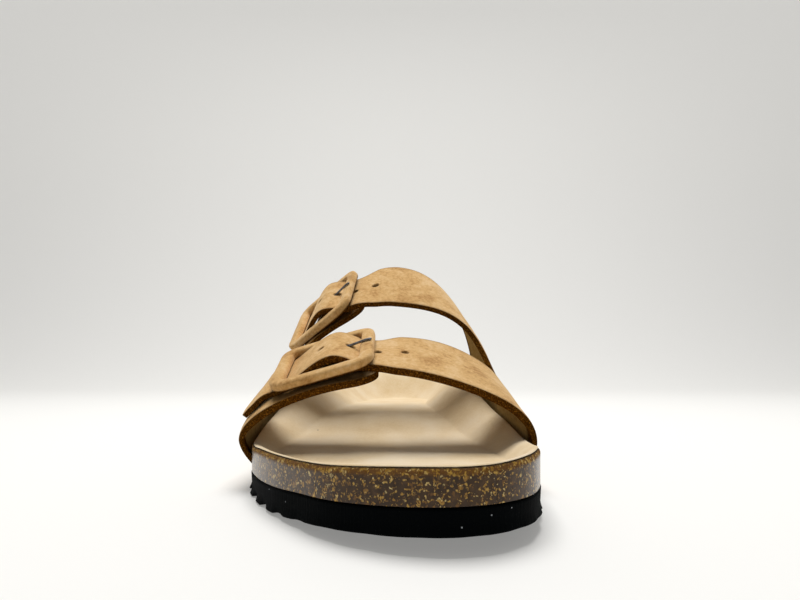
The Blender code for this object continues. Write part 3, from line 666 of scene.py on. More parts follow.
fine_station = np.linspace(0.0, SOLE_LENGTH, 3000)
edge_middle = (edge_x(fine_station, 1).max() + edge_x(fine_station, -1).min()) / 2
low, high = (np.array(corner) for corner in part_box("footbed"))
SHIFT = np.array([(low[0] + high[0]) / 2 - edge_middle * MM, (low[1] + high[1]) / 2, 0.0])


def to_frame(points):
    """Shoe millimetres to the frame's metres."""
    return (np.asarray(points, float) - np.array([0.0, SOLE_LENGTH / 2, 0.0])) * MM + SHIFT


def add_piece(name, points, faces, material, node=None, marks=None, weld=2e-6, cut=None):
    """Mesh object from points in shoe millimetres and faces as index rows, welded, turned outwards.

    marks are numbers on the points that its material reads by name. material may be a pair, and cut then
    says for each face whether it takes the second one.
    """
    mesh = bpy.data.meshes.new(name)
    mesh.from_pydata(to_frame(points).tolist(), [], faces)
    for mark, values in (marks or {}).items():
        numbers = mesh.attributes.new(mark, "FLOAT", "POINT").data
        numbers.foreach_set("value", np.ravel(values).astype(np.float32))
    if cut is not None:
        mesh.polygons.foreach_set("material_index", np.asarray(cut, np.int32))
    bm = bmesh.new()
    bm.from_mesh(mesh)
    bmesh.ops.remove_doubles(bm, verts=bm.verts, dist=weld)
    bmesh.ops.dissolve_degenerate(bm, edges=bm.edges, dist=1e-7)
    bmesh.ops.recalc_face_normals(bm, faces=bm.faces)
    bm.to_mesh(mesh)
    bm.free()
    for each_material in material if isinstance(material, tuple) else (material,):
        mesh.materials.append(each_material)
    mesh.shade_smooth()
    mesh.set_sharp_from_angle(angle=math.radians(SHARP_ANGLE))
    piece = bpy.data.objects.new(name, mesh)
    bpy.context.scene.collection.objects.link(piece)
    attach(piece, "root")
    if node:
        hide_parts(node)
    return piece


def grid_faces(rows, columns, round_rows=False, round_columns=False):
    """Quads of a grid of points stored row by row, closed in either way if asked."""
    index = np.arange(rows * columns).reshape(rows, columns)
    if round_rows:
        index = np.concatenate([index, index[:1]])
    if round_columns:
        index = np.concatenate([index, index[:, :1]], axis=1)
    corners = (index[:-1, :-1], index[:-1, 1:], index[1:, 1:], index[1:, :-1])
    return np.stack(corners, axis=-1).reshape(-1, 4)


def loft(name, rings, material, node, marks=None, across=False):
    """Closed solid through rings round the sole, capped from side to side or meeting on the spine."""
    count, width = len(rings), len(rings[0])
    faces = grid_faces(count, width, round_columns=True).tolist()
    if across:
        half = width // 2
        k = np.arange(half)
        cap = np.stack([k, k + 1, width - k - 1, (width - k) % width], axis=1)
        for base in (0, (count - 1) * width):
            faces += [list(dict.fromkeys(row)) for row in (cap + base).tolist()]
    return add_piece(name, np.concatenate(rings), faces, material, node, marks)


# Straps and tabs.

def band(point, strap, girth, share, seam_girth, dark_margin, holes=(), shaded_stretch=None):
    """Closed band of suede: an outer face, raw edges and a lining face round each row.

    The lining lies on point(strap, girth, share). The outer face stands off it by the suede's thickness
    along the surface's normal, sinks in at the holes and rounds over at the edges, which bulge a little.
    The stretch given as the last argument lies under the strap and buckle. There the outer face is painted
    darker as shade, with the cut edges' colour, and takes the suede without sheen.
    Rows further out than seam_girth, which is signed by its side of the foot, have no edge on the seam's
    side, where the other band carries on.
    """
    g, s = np.meshgrid(girth, share, indexing="ij")
    inner = point(strap, g, s)
    round_it = point(strap, g + GIRTH_STEP, s) - point(strap, g - GIRTH_STEP, s)
    across = point(strap, g, s + SHARE_STEP) - point(strap, g, s - SHARE_STEP)
    normal = unit(np.cross(round_it, across))
    along = along_of(strap, g)
    width = np.linalg.norm(inner[:, -1] - inner[:, 0], axis=1)[:, None]
    joined = girth / seam_girth > 1.0
    joined_rear = joined & (strap["seam"] == 1.0)
    joined_front = joined & (strap["seam"] == 0.0)
    to_rear = np.where(joined_rear[:, None], NO_EDGE, (1 - s) * width)
    to_front = np.where(joined_front[:, None], NO_EDGE, s * width)
    to_edge = np.minimum(to_front, to_rear)
    sunk = np.zeros_like(s)
    # The holes sink in and are marked, so that the suede paints them near black as shade.
    for centre in holes:
        distance = np.hypot(along - centre, (s - 0.5) * width) / HOLE_RADIUS
        sunk = np.maximum(sunk, 1 - ease((distance - HOLE_FLAT) / HOLE_LIP))
    above_belly = ease((1.0 - np.abs(girth)) / BELLY_FADE)[:, None]
    swell = strap["edge_swell"] * np.exp(-((to_edge / SWELL_REACH) ** 2)) * above_belly
    if holes:
        swell = swell * ease((along - SWELL_STARTS) / SWELL_FADE)
    inner = inner - normal * swell[..., None]
    thick = STRAP + swell
    crown = 1 - EDGE_CROWN * np.exp(-to_edge / CROWN_REACH)
    lumps = sum(height * ripple(inner, size) for height, size in LUMPS) * ease(to_edge / LUMPS_START)
    outer = inner + normal * (thick * crown * (1 - HOLE_DEPTH * sunk) + lumps)[..., None]
    heights, bulge = np.array(EDGE_PROFILE).T
    fuzz = FUZZ * ripple(inner, FUZZ_SIZE)

    def edge_strip(column, way, free):
        """Three rows of points down a cut edge, bulging out along way."""
        up_the_edge = normal[:, column, None] * (thick[:, column, None] * heights)[..., None]
        out = (bulge + fuzz[:, column, None]) * free[:, None]
        return inner[:, column, None] + up_the_edge + unit(way)[:, None] * out[..., None]

    rear = edge_strip(-1, inner[:, -1] - inner[:, -2], ~joined_rear)
    front = edge_strip(0, inner[:, 0] - inner[:, 1], ~joined_front)
    points = np.concatenate([outer, rear, inner[:, ::-1], front[:, ::-1]], axis=1)
    columns = len(share)
    # Painted shade: under the strap and buckle the tab's outer face takes the cut edges' dark colour.
    painted_shade = np.zeros_like(s)
    if shaded_stretch:
        painted_shade = ease((along - shaded_stretch[0]) / SHADE_FADES[0]) * ease((shaded_stretch[1] - along) / SHADE_FADES[1])
    near = np.maximum(np.exp(-to_edge / RAW_REACH), SHADE_DARKENS * painted_shade)
    margin = (1 - ease((to_edge - dark_margin) / MARGIN_FADE))[:, ::-1]
    none, strip = np.zeros_like(s), np.zeros((len(girth), len(heights)))
    marks = {
        "raw_edge_and_shade": np.concatenate([near, strip + 1, margin, strip + 1], axis=1),
        "lining": np.concatenate([none, strip, none + 1, strip], axis=1),
        "hole": np.concatenate([sunk, strip, sunk[:, ::-1], strip], axis=1),
    }
    rows, round_width = points.shape[:2]
    faces = grid_faces(rows, round_width, round_columns=True).reshape(rows - 1, round_width, 4)
    keep = np.ones((rows - 1, round_width), bool)
    rear_strip = slice(columns - 1, columns + 3)
    front_strip = slice(2 * columns + 2, 2 * columns + 6)
    keep[joined[:-1] & joined[1:], rear_strip if strap["seam"] == 1.0 else front_strip] = False
    # Cut edges, and the rows of painted shade under the buckle, take the suede without sheen.
    dull = (np.arange(round_width) >= columns - 1) | (painted_shade[:-1, :1] > 0.5)
    cut = dull[keep].tolist()
    faces = faces[keep].tolist()
    k = np.arange(columns - 1)
    opposite = 2 * columns + 2 - k
    caps = np.stack([k, k + 1, opposite - 1, opposite], axis=1).tolist()
    caps += [[*range(columns - 1, columns + 4)], [*range(2 * columns + 2, 2 * columns + 6), 0]]
    for base in (0, (rows - 1) * round_width):
        faces += [[base + v for v in cap] for cap in caps]
    cut += [True] * (len(faces) - len(cut))
    return points.reshape(-1, 3), faces, marks, cut


def upper(name, bands, material, node):
    """One piece of the upper from its two bands, welded along their seam."""
    points, faces, marks, cut, start = [], [], {}, [], 0
    for band_points, band_faces, band_marks, band_cut in bands:
        points.append(band_points)
        faces += [[start + v for v in face] for face in band_faces]
        for mark, values in band_marks.items():
            marks.setdefault(mark, []).append(np.ravel(values))
        cut += band_cut
        start += len(band_points)
    marks = {mark: np.concatenate(values) for mark, values in marks.items()}
    points = np.concatenate(points)
    return add_piece(name, points, faces, material, node, marks, weld=SEAM_WELD, cut=cut)


def close_up(ends, spots, coarse, fine, reach):
    """Rising values between the ends, a coarse step apart, and a fine step apart near the spots."""
    values = list(np.arange(ends[0], ends[1], coarse)) + [ends[1]]
    for spot in spots:
        values += list(np.arange(spot - reach, spot + reach + fine / 2, fine))
    values = np.array(sorted(v for v in values if ends[0] <= v <= ends[1]))
    keep = np.concatenate([[True], np.diff(values) > fine * 0.45])
    return values[keep]


def rows_to_notch():
    """Girths from the margin's inner end to the open notch, close together where the band turns or opens."""
    return np.concatenate([
        np.linspace(3.0, 2.12, 5), np.linspace(2.08, 1.9, 6), np.linspace(1.8, 1.0, 14),
        np.linspace(0.98, NOTCH_FOOT, 8), np.linspace(0.795, NOTCH_OPEN, 26),
    ])


def strap_rows(strap):
    """Girths of a strap's rows from its margin to its tail, close together at the holes."""
    girths, run = strap["run"]
    base = rows_to_notch()
    start = np.interp(base[-1], girths, run)
    steps = close_up((TAIL_END, start), strap["holes"], ROW_STEP, HOLE_ROW_STEP, HOLE_ROWS_REACH)
    return np.concatenate([base, np.interp(steps[::-1][1:], run, girths)])


def tab_rows(strap):
    """Girths of a tab's rows from its margin to the end of its tongue."""
    girths, run = strap["run"]
    base = -rows_to_notch()
    start = np.interp(base[-1], girths, run)
    way = np.linspace(0.0, 1.0, 90)[1:]
    steps = start + (TONGUE_END - start) * (1 - (1 - way) ** 1.5)
    return np.concatenate([base, np.interp(steps, run, girths)])


def shares_across(fine_middle):
    """Places across a band, close together at both edges and, if asked, at the row of holes."""
    sides = (1 - np.cos(np.linspace(0.0, math.pi, 27))) / 2
    if not fine_middle:
        return sides
    return np.unique(np.round(np.concatenate([sides, np.linspace(0.41, 0.59, 17)]), 4))


# Buckles.

def sweep(path, half_width_mm, half_height_mm, power, sides, closed, outward_up):
    """Superellipse section carried along a path in the buckle's frame.

    The section's two axes are the path's own side direction and outward_up.
    """
    if closed:
        tangent = np.roll(path, -1, axis=0) - np.roll(path, 1, axis=0)
    else:
        tangent = np.gradient(path, axis=0)
    sideways = unit(np.cross(tangent, outward_up))
    upward = unit(np.cross(sideways, tangent))
    turn = np.linspace(0.0, 2 * math.pi, sides, endpoint=False)
    across = np.sign(np.cos(turn)) * np.abs(np.cos(turn)) ** (2 / power) * half_width_mm
    rise = np.sign(np.sin(turn)) * np.abs(np.sin(turn)) ** (2 / power) * half_height_mm
    return path[:, None] + sideways[:, None] * across[None, :, None] + upward[:, None] * rise[None, :, None]


def frame_path():
    """Centre line of the buckle's frame: a rounded rectangle, anticlockwise from above."""
    along, across = FRAME_ALONG - FRAME_BAR, FRAME_ACROSS - FRAME_BAR
    quarter = np.linspace(0.0, math.pi / 2, 13)
    pieces = []
    for corner, (sx, sy) in enumerate(((1, 1), (-1, 1), (-1, -1), (1, -1))):
        turn = quarter + corner * math.pi / 2
        x = sx * (along / 2 - FRAME_CORNER) + FRAME_CORNER * np.cos(turn)
        y = sy * (across / 2 - FRAME_CORNER) + FRAME_CORNER * np.sin(turn)
        pieces.append(np.stack([x, y], axis=1))
    rough = np.concatenate(pieces + [pieces[0][:1]])
    run = np.concatenate([[0.0], np.cumsum(np.linalg.norm(np.diff(rough, axis=0), axis=1))])
    even = np.linspace(0.0, run[-1], 181)[:-1]
    plan = np.stack([np.interp(even, run, rough[:, axis]) for axis in (0, 1)], axis=1)
    return np.column_stack([plan[:, 0] + FRAME_CENTRE, plan[:, 1], np.zeros(len(plan))])


def in_shoe(place, points):
    """Points of the buckle's flat frame, raised to the crossbar, in the shoe's frame."""
    lifted = points + np.array([0.0, 0.0, CROSSBAR_HEIGHT])
    return place["origin"] + lifted @ np.stack([place["along"], place["across"], place["up"]])


def buckle(end, strap, material, steel):
    """Suede-wrapped frame: a puffed flat section round a rounded rectangle, with a bare crossbar."""
    path = frame_path()
    skin = sweep(path, FRAME_BAR / 2, FRAME_DEPTH / 2, FRAME_SQUARE, 32, True, np.array([0.0, 0.0, 1.0]))
    puff = 1 + FRAME_LUMPS * ripple(skin, FRAME_LUMP_SIZE)
    skin = path[:, None] + (skin - path[:, None]) * puff[..., None]
    points = in_shoe(strap["frame"], skin)
    faces = grid_faces(*points.shape[:2], True, True).tolist()
    none = np.zeros(points.shape[:2])
    # The frame's underside, the wrap's glued cut margin, takes the cut edges' dark colour and no sheen; the
    # darkness is partly painted shade under the frame.
    turned_under_and_shade = ease((-0.3 - skin[..., 2] / FRAME_DEPTH * 2) / 0.35)
    marks = {"raw_edge_and_shade": turned_under_and_shade, "lining": none, "hole": none}
    cut = turned_under_and_shade.reshape(-1)[np.array(faces)].mean(axis=1) > 0.5
    name = f"wrapped_buckle_{end}"
    add_piece(name, points.reshape(-1, 3), faces, material, f"buckle_{end}", marks, cut=cut)
    half = FRAME_ACROSS / 2 - FRAME_BAR / 2
    bar_path = np.stack([np.zeros(9), np.linspace(-half, half, 9), np.zeros(9)], axis=1)
    rod(name + "_crossbar", strap, bar_path, CROSSBAR_RADIUS, steel)


def crossbar_loop(name, strap, material):
    """Tab's end folded round the crossbar and sewn flat: a drop-shaped profile carried across the tab.

    The profile is a circle round the bar with its two tangents to the foot on the tab.
    """
    reach = math.hypot(LOOP_FOOT_ALONG, LOOP_FOOT_HEIGHT)
    to_foot = math.atan2(LOOP_FOOT_HEIGHT, LOOP_FOOT_ALONG)
    open_angle = math.acos(LOOP_RADIUS / reach)
    turn = np.linspace(to_foot - open_angle, to_foot + open_angle - 2 * math.pi, 40)
    head = LOOP_RADIUS * np.stack([np.cos(turn), np.sin(turn)], axis=1)
    foot = np.array([LOOP_FOOT_ALONG, LOOP_FOOT_HEIGHT])
    legs = np.linspace(0.0, 0.97, 14)[1:, None]
    there = head[-1] + (foot - head[-1]) * legs
    back = (head[0] + (foot - head[0]) * legs)[::-1]
    profile = np.concatenate([head, there, back])
    across = LOOP_HALF_WIDTH * np.linspace(-1.0, 1.0, 25)
    points = np.stack(np.broadcast_arrays(profile[:, 0], across[:, None], profile[:, 1]), axis=-1)
    faces = grid_faces(*points.shape[:2], False, True).tolist()
    cut = [False] * len(faces) + [True, True]
    last_row = (len(across) - 1) * len(profile)
    faces += [list(range(start, start + len(profile))) for start in (0, last_row)]
    none = np.zeros(points.shape[:2])
    at_end = np.exp(-(LOOP_HALF_WIDTH - np.abs(points[..., 1])) / 0.4)
    marks = {"raw_edge_and_shade": at_end, "lining": none, "hole": none}
    points = in_shoe(strap["frame"], points).reshape(-1, 3)
    return add_piece(name, points, faces, material, marks=marks, cut=cut)


def rod(name, strap, path, radius, material, node=None):
    """Round wire along a path in the buckle's frame, with rounded ends."""
    fall = np.linspace(1.0, 0.0, 5)
    ends = np.sqrt(1 - fall**2)
    start = path[0] + unit(path[0] - path[1]) * radius * fall[:-1, None]
    finish = path[-1] + unit(path[-1] - path[-2]) * radius * fall[::-1][1:, None]
    line = np.concatenate([start, path, finish])
    size = np.concatenate([ends[:-1], np.ones(len(path)), ends[::-1][1:]]) * radius
    round_line = sweep(line, 1.0, 1.0, 2.0, 14, False, np.array([0.0, 0.99, 0.14]))
    skin = line[:, None] + (round_line - line[:, None]) * size[:, None, None]
    points = in_shoe(strap["frame"], skin)
    faces = grid_faces(*points.shape[:2], False, True).tolist()
    return add_piece(name, points.reshape(-1, 3), faces, material, node)


def prong_path():
    """Prong in the buckle's frame: an eye round the crossbar, then straight to its rest on the frame."""
    eye = CROSSBAR_RADIUS + EYE_CLEARANCE + PRONG_RADIUS
    turns = np.radians(np.linspace(-40.0, -270.0, 40))
    ring = np.stack([eye * np.cos(turns), np.zeros(40), eye * np.sin(turns)], axis=1)
    rest = FRAME_DEPTH / 2 + PRONG_RADIUS + 0.1
    bar = FRAME_CENTRE + (FRAME_ALONG - FRAME_BAR) / 2
    share = np.linspace(0.06, 1.0, 24)
    ahead = np.stack([bar * share, np.zeros(24), eye + (rest - eye) * share], axis=1)
    over = np.linspace(bar, PRONG_TIP, 8)[1:]
    tip = np.stack([over, np.zeros(7), rest - 0.2 * ((over - bar) / (PRONG_TIP - bar)) ** 2], axis=1)
    return np.concatenate([ring, ahead, tip])


# Materials. Each pattern's scale is one over its size in millimetres. Fibres, pores and the wire's marks are
# finer than the picture can show, and are drawn coarse enough to be seen.

SUEDE_TONES = ("#AD7F48", "#D0A66B", "#DDB987")
SUEDE_LINING = ("#8F7546", "#AC9160")
# Cut-edge colours, which also serve as painted shade under the buckles and on the frame's underside.
SUEDE_RAW_AND_SHADE = ("#341C05", "#57340A", "#A8742E")
CORK_GRAINS = ((1.7, 0.13, 0.30), (1.1, 0.25, 0.30), (0.65, 0.34, 0.32))
MAIN_OUTPUT = {"ShaderNodeAttribute": "Fac", "ShaderNodeMix": 2}


def linear(code):
    """sRGB hex to linear colour with alpha."""
    parts = np.array([int(code[i:i + 2], 16) for i in (1, 3, 5)]) / 255
    return (*np.where(parts <= 0.04045, parts / 12.92, ((parts + 0.055) / 1.055) ** 2.4), 1.0)


def set_inputs(tree, node, inputs):
    """Sets a node's inputs to values, or links them to sockets or to other nodes' main outputs."""
    for key, value in inputs.items():
        if isinstance(value, bpy.types.Node):
            value = value.outputs[MAIN_OUTPUT.get(value.bl_idname, 0)]
        if isinstance(value, bpy.types.NodeSocket):
            tree.links.new(value, node.inputs[key])
        else:
            node.inputs[key].default_value = value


def add_node(tree, kind, inputs, stops=(), **settings):
    """Adds a node, sets its properties, and sets or links its inputs. stops are a ramp's colours."""
    node = tree.nodes.new("ShaderNode" + kind)
    for name, value in settings.items():
        setattr(node, name, value)
    set_inputs(tree, node, inputs)
    if stops:
        ramp = node.color_ramp
        while len(ramp.elements) < len(stops):
            ramp.elements.new(0.5)
        for element, (place, colour) in zip(ramp.elements, stops):
            element.position = place
            element.color = linear(colour)
    return node


def new_material(name, constants):
    """Principled material with its constant sockets set.

    With it come a function that adds a node to it, one that feeds its shader, and the object's coordinates
    in millimetres.
    """
    material = bpy.data.materials.new(name)
    material.use_nodes = True
    tree = material.node_tree
    shader = tree.nodes["Principled BSDF"]
    set_inputs(tree, shader, constants)
    add = functools.partial(add_node, tree)
    place = add("TexCoord", {}).outputs["Object"]
    mm = add("Mapping", {"Vector": place, "Scale": (1000.0, 1000.0, 1000.0)})
    return material, add, functools.partial(set_inputs, tree, shader), mm


def specks(add, mm, size, radius):
    """Mask of scattered round specks: a dot at the middle of some of the cells of this size."""
    cell = add("TexVoronoi", {"Vector": mm, "Scale": 1 / size})
    chance = add("SeparateColor", {"Color": cell.outputs["Color"]})
    rare = add("Math", {0: chance.outputs["Red"], 1: 0.3}, operation="LESS_THAN")
    dot = add("Math", {0: cell, 1: radius}, operation="LESS_THAN")
    return add("Math", {0: rare, 1: dot}, operation="MULTIPLY")


def suede_material(name, sheen, gloss):
    """Chrome-tanned suede split: a brushed nap that lies in darker and lighter patches, fuzzy raw edges.

    The lining and the cut edges are marked on the mesh, and their faces take a second suede without the
    nap's sheen. The cut edges' colour and that suede also serve as painted shade on the tabs under the
    buckles and on the frame's underside, and the holes are painted near black as shade.
    """
    material, add, feed, mm = new_material(name, {
        "Roughness": 0.92, "Sheen Weight": sheen, "Sheen Roughness": 0.4, "Sheen Tint": linear("#F2DDB8"),
        "Specular IOR Level": gloss,
    })
    patch = add("TexNoise", {"Vector": mm, "Scale": 1 / 13, "Detail": 3.0, "Distortion": 0.8})
    nap = add("TexNoise", {"Vector": mm, "Scale": 1 / 1.6, "Detail": 4.0, "Roughness": 0.7})
    fibre = add("TexNoise", {"Vector": mm, "Scale": 1 / 0.45, "Detail": 5.0, "Roughness": 0.65})
    both = add("Math", {0: patch, 1: nap}, operation="ADD")
    halved = add("Math", {0: both, 1: 0.5}, operation="MULTIPLY")
    tone = add("ValToRGB", {"Fac": halved}, list(zip((0.36, 0.5, 0.62), SUEDE_TONES)))
    lining = add("ValToRGB", {"Fac": nap}, list(zip((0.3, 0.7), SUEDE_LINING)))
    raw_edge_and_shade = add("ValToRGB", {"Fac": fibre}, list(zip((0.4, 0.55, 0.68), SUEDE_RAW_AND_SHADE)))
    colour = tone
    # The holes are painted near black as shade. The cut edges' colour also paints shade under the buckles and
    # on the frame's underside.
    for mark, marked in (("lining", lining), ("raw_edge_and_shade", raw_edge_and_shade), ("hole", linear("#0E0703"))):
        share = add("Attribute", {}, attribute_name=mark)
        colour = add("Mix", {"Factor": share, 6: colour, 7: marked}, data_type="RGBA")
    bump = add("Bump", {"Height": fibre, "Strength": 0.55, "Distance": 0.00035})
    feed({"Base Color": colour, "Normal": bump})
    return material


def cork_material():
    """Cork granules bound in dark latex, ground and lacquered: pale flecks in brown under a clear gloss.

    The strip marked crumb at the top edge is bare, rough and full of golden grains. Each grain size has its
    cell size, the share of cells that hold a grain and the grain's radius in its cell.
    """
    material, add, feed, mm = new_material(
        "lacquered_cork", {"Coat Roughness": 0.2, "Coat IOR": 1.3, "Specular IOR Level": 0.15}
    )
    crumb = add("Attribute", {}, attribute_name="crumb")
    gap_shadow = add("Attribute", {}, attribute_name="gap_shadow")
    run = add("Attribute", {}, attribute_name="run")
    warp = add("TexNoise", {"Vector": mm, "Scale": 1 / 1.4, "Detail": 3.0})
    shake = add("VectorMath", {0: warp.outputs["Color"], 1: (2.4, 2.4, 2.4)}, operation="MULTIPLY")
    shaken = add("VectorMath", {0: mm, 1: shake}, operation="ADD")
    cloud = add("TexNoise", {"Vector": mm, "Scale": 1 / 2.6, "Detail": 4.0})
    binder = add("ValToRGB", {"Fac": cloud}, [(0.35, "#35220C"), (0.55, "#442E14"), (0.7, "#563C1E")])
    colour = add("Mix", {"Factor": crumb, 6: binder, 7: linear("#74502A")}, data_type="RGBA")
    for size, share, radius in CORK_GRAINS:
        cell = add("TexVoronoi", {"Vector": shaken, "Scale": 1 / size})
        chance = add("SeparateColor", {"Color": cell.outputs["Color"]})
        more = add("Math", {0: crumb, 1: 0.3, 2: share}, operation="MULTIPLY_ADD")
        picked = add("Math", {0: chance.outputs["Red"], 1: more}, operation="LESS_THAN")
        soft_edge = {"From Min": radius, "From Max": radius + 0.24, "To Min": 1.0, "To Max": 0.0}
        near = add("MapRange", {"Value": cell, **soft_edge})
        grain = add("Math", {0: picked, 1: near}, operation="MULTIPLY")
        tint = add(
            "ValToRGB", {"Fac": chance.outputs["Green"]},
            [(0.1, "#6E4A1C"), (0.45, "#A2772F"), (0.8, "#C49A45"), (0.97, "#E0C684")],
        )
        colour = add("Mix", {"Factor": grain, 6: colour, 7: tint}, data_type="RGBA")
    # Painted shadow: the cork's top edge is darkened where the cover's edge shades it.
    shaded = add("Mix", {"Factor": gap_shadow, 6: colour, 7: linear("#180C03")}, data_type="RGBA")
    streaks = add("TexNoise", {"W": run, "Scale": 1 / 0.9, "Detail": 3.0}, noise_dimensions="1D")
    streaky = {"From Min": 0.3, "From Max": 0.7, "To Min": 0.4, "To Max": 0.95}
    lacquer = add("MapRange", {"Value": streaks, **streaky})
    gloss = add("MapRange", {"Value": crumb, "To Min": lacquer, "To Max": 0.0})
    rough = add("MapRange", {"Value": crumb, "To Min": 0.45, "To Max": 0.85})
    depth = add("MapRange", {"Value": crumb, "To Min": 0.08, "To Max": 0.9})
    pits = add("TexNoise", {"Vector": mm, "Scale": 1 / 0.7, "Detail": 4.0})
    bump = add("Bump", {"Height": pits, "Strength": depth, "Distance": 0.0006})
    feed({"Base Color": shaded, "Coat Weight": gloss, "Roughness": rough, "Normal": bump})
    return material


def foam_material():
    """Die-cut and ground EVA foam: dull black, drawn upright by the grinder, with a little pale dust. Along
    the sides the grinder's lines are painted lighter as highlight of grazing light.
    """
    material, add, feed, mm = new_material("black_foam", {"Roughness": 0.8, "Specular IOR Level": 0.03})
    run = add("Attribute", {}, attribute_name="run")
    painted_side_glint = add("Attribute", {}, attribute_name="painted_side_glint")
    lines = add("TexNoise", {"W": run, "Scale": 1 / 0.8, "Detail": 3.0}, noise_dimensions="1D")
    # Painted highlight: the grinder's lines are lightened only along the sides, where light grazes them.
    lines_with_glint = add("Math", {0: lines, 1: painted_side_glint}, operation="MULTIPLY")
    tone = add("ValToRGB", {"Fac": lines_with_glint}, [(0.3, "#030506"), (0.5, "#08090B"), (0.68, "#1B1C1F")])
    dust = specks(add, mm, 2.6, 0.085)
    dusted = add("Mix", {"Factor": dust, 6: tone, 7: linear("#A4A8AC")}, data_type="RGBA")
    pores = add("TexNoise", {"Vector": mm, "Scale": 1 / 0.5, "Detail": 3.0})
    height = add("Math", {0: pores, 1: 0.35, 2: lines}, operation="MULTIPLY_ADD")
    bump = add("Bump", {"Height": height, "Strength": 0.5, "Distance": 0.0004})
    feed({"Base Color": dusted, "Normal": bump})
    return material


def cover_material():
    """Natural suede lining leather: cream with a short soft nap and faint warm and grey clouds."""
    material, add, feed, mm = new_material("cream_suede", {
        "Roughness": 0.9, "Sheen Weight": 0.2, "Sheen Roughness": 0.5, "Specular IOR Level": 0.2,
    })
    cloud = add("TexNoise", {"Vector": mm, "Scale": 1 / 22, "Detail": 3.0})
    nap = add("TexNoise", {"Vector": mm, "Scale": 1 / 1.1, "Detail": 4.0, "Roughness": 0.7})
    mixed = add("Math", {0: nap, 1: 0.4, 2: cloud}, operation="MULTIPLY_ADD")
    tone = add("ValToRGB", {"Fac": mixed}, [(0.5, "#D3B98E"), (0.7, "#DEC8A3"), (0.9, "#E4D2B4")])
    flecks = specks(add, mm, 8.0, 0.045)
    flecked = add("Mix", {"Factor": flecks, 6: tone, 7: linear("#6B543A")}, data_type="RGBA")
    fibre = add("TexNoise", {"Vector": mm, "Scale": 1 / 0.5, "Detail": 4.0})
    bump = add("Bump", {"Height": fibre, "Strength": 0.3, "Distance": 0.00025})
    feed({"Base Color": flecked, "Normal": bump})
    return material


def steel_material():
    """Drawn steel wire, darkened: fine marks along it break up its shine."""
    material, add, feed, mm = new_material("drawn_steel", {"Metallic": 1.0})
    marks = add("TexNoise", {"Vector": mm, "Scale": 1 / 0.8, "Detail": 4.0})
    tone = add("ValToRGB", {"Fac": marks}, [(0.35, "#54555A"), (0.65, "#85868C")])
    rough = add("MapRange", {"Value": marks, "To Min": 0.22, "To Max": 0.5})
    feed({"Base Color": tone, "Roughness": rough})
    return material


# Pieces.

def outsole(material):
    """Foam outsole: a wall that flares to round lugs along its lower edge, with notches between them."""
    loop = sole_loop(LUGS_PER_SIDE * POINTS_PER_LUG)
    tread = np.maximum(layer_height(loop["edge"], "tread"), 0.0)
    top = layer_height(loop["edge"], "foam")
    phase = (loop["turn"] * LUGS_PER_SIDE) % 1.0
    lug = ease((np.abs(phase - 0.5) - NOTCH_HALF) / LUG_ROUND)
    lugged = ease((loop["station"] - LUGS_START) / LUG_FADE)
    cut = (1 - lug) * lugged
    notch_top = tread + LUG_HEIGHT * cut
    flare = LUG_FLARE * (0.5 + (lug - 0.5) * (0.25 + 0.75 * lugged)) - NOTCH_INSET * cut
    shoulder = top - FOAM_ROUND
    flare_top = tread + LUG_HEIGHT + FLARE_ABOVE_LUGS
    rings = [
        with_height(outset_ring(loop, -20.0), top),
        with_height(outset_ring(loop, -0.4), top),
        with_height(outset_ring(loop, FOAM_OUT), shoulder),
    ]
    for share in np.linspace(0.1, 1.0, 8):
        height = shoulder + (flare_top - shoulder) * share
        rings.append(with_height(outset_ring(loop, FOAM_OUT * (1 - share)), height))
    for share in (0.35, 0.7, 0.9, 1.0):
        height = flare_top + (notch_top + 0.35 - flare_top) * share
        rings.append(with_height(outset_ring(loop, flare * share**1.6), height))
    rings += [
        with_height(outset_ring(loop, flare - 0.3), notch_top),
        with_height(outset_ring(loop, -LUG_DEPTH + 0.5), notch_top),
        with_height(outset_ring(loop, -LUG_DEPTH - 0.6), tread + 0.25 * cut),
    ]
    # Where the foam's lines are painted lighter as highlight of grazing light: along the sides, not round the
    # toe.
    painted_side_glint = ease((np.abs(loop["run"]) - 50.0) / 25.0)
    marks = {"run": np.tile(loop["run"], len(rings)), "painted_side_glint": np.tile(painted_side_glint, len(rings))}
    return loft("foam_outsole", rings, material, "outsole", marks, across=True)


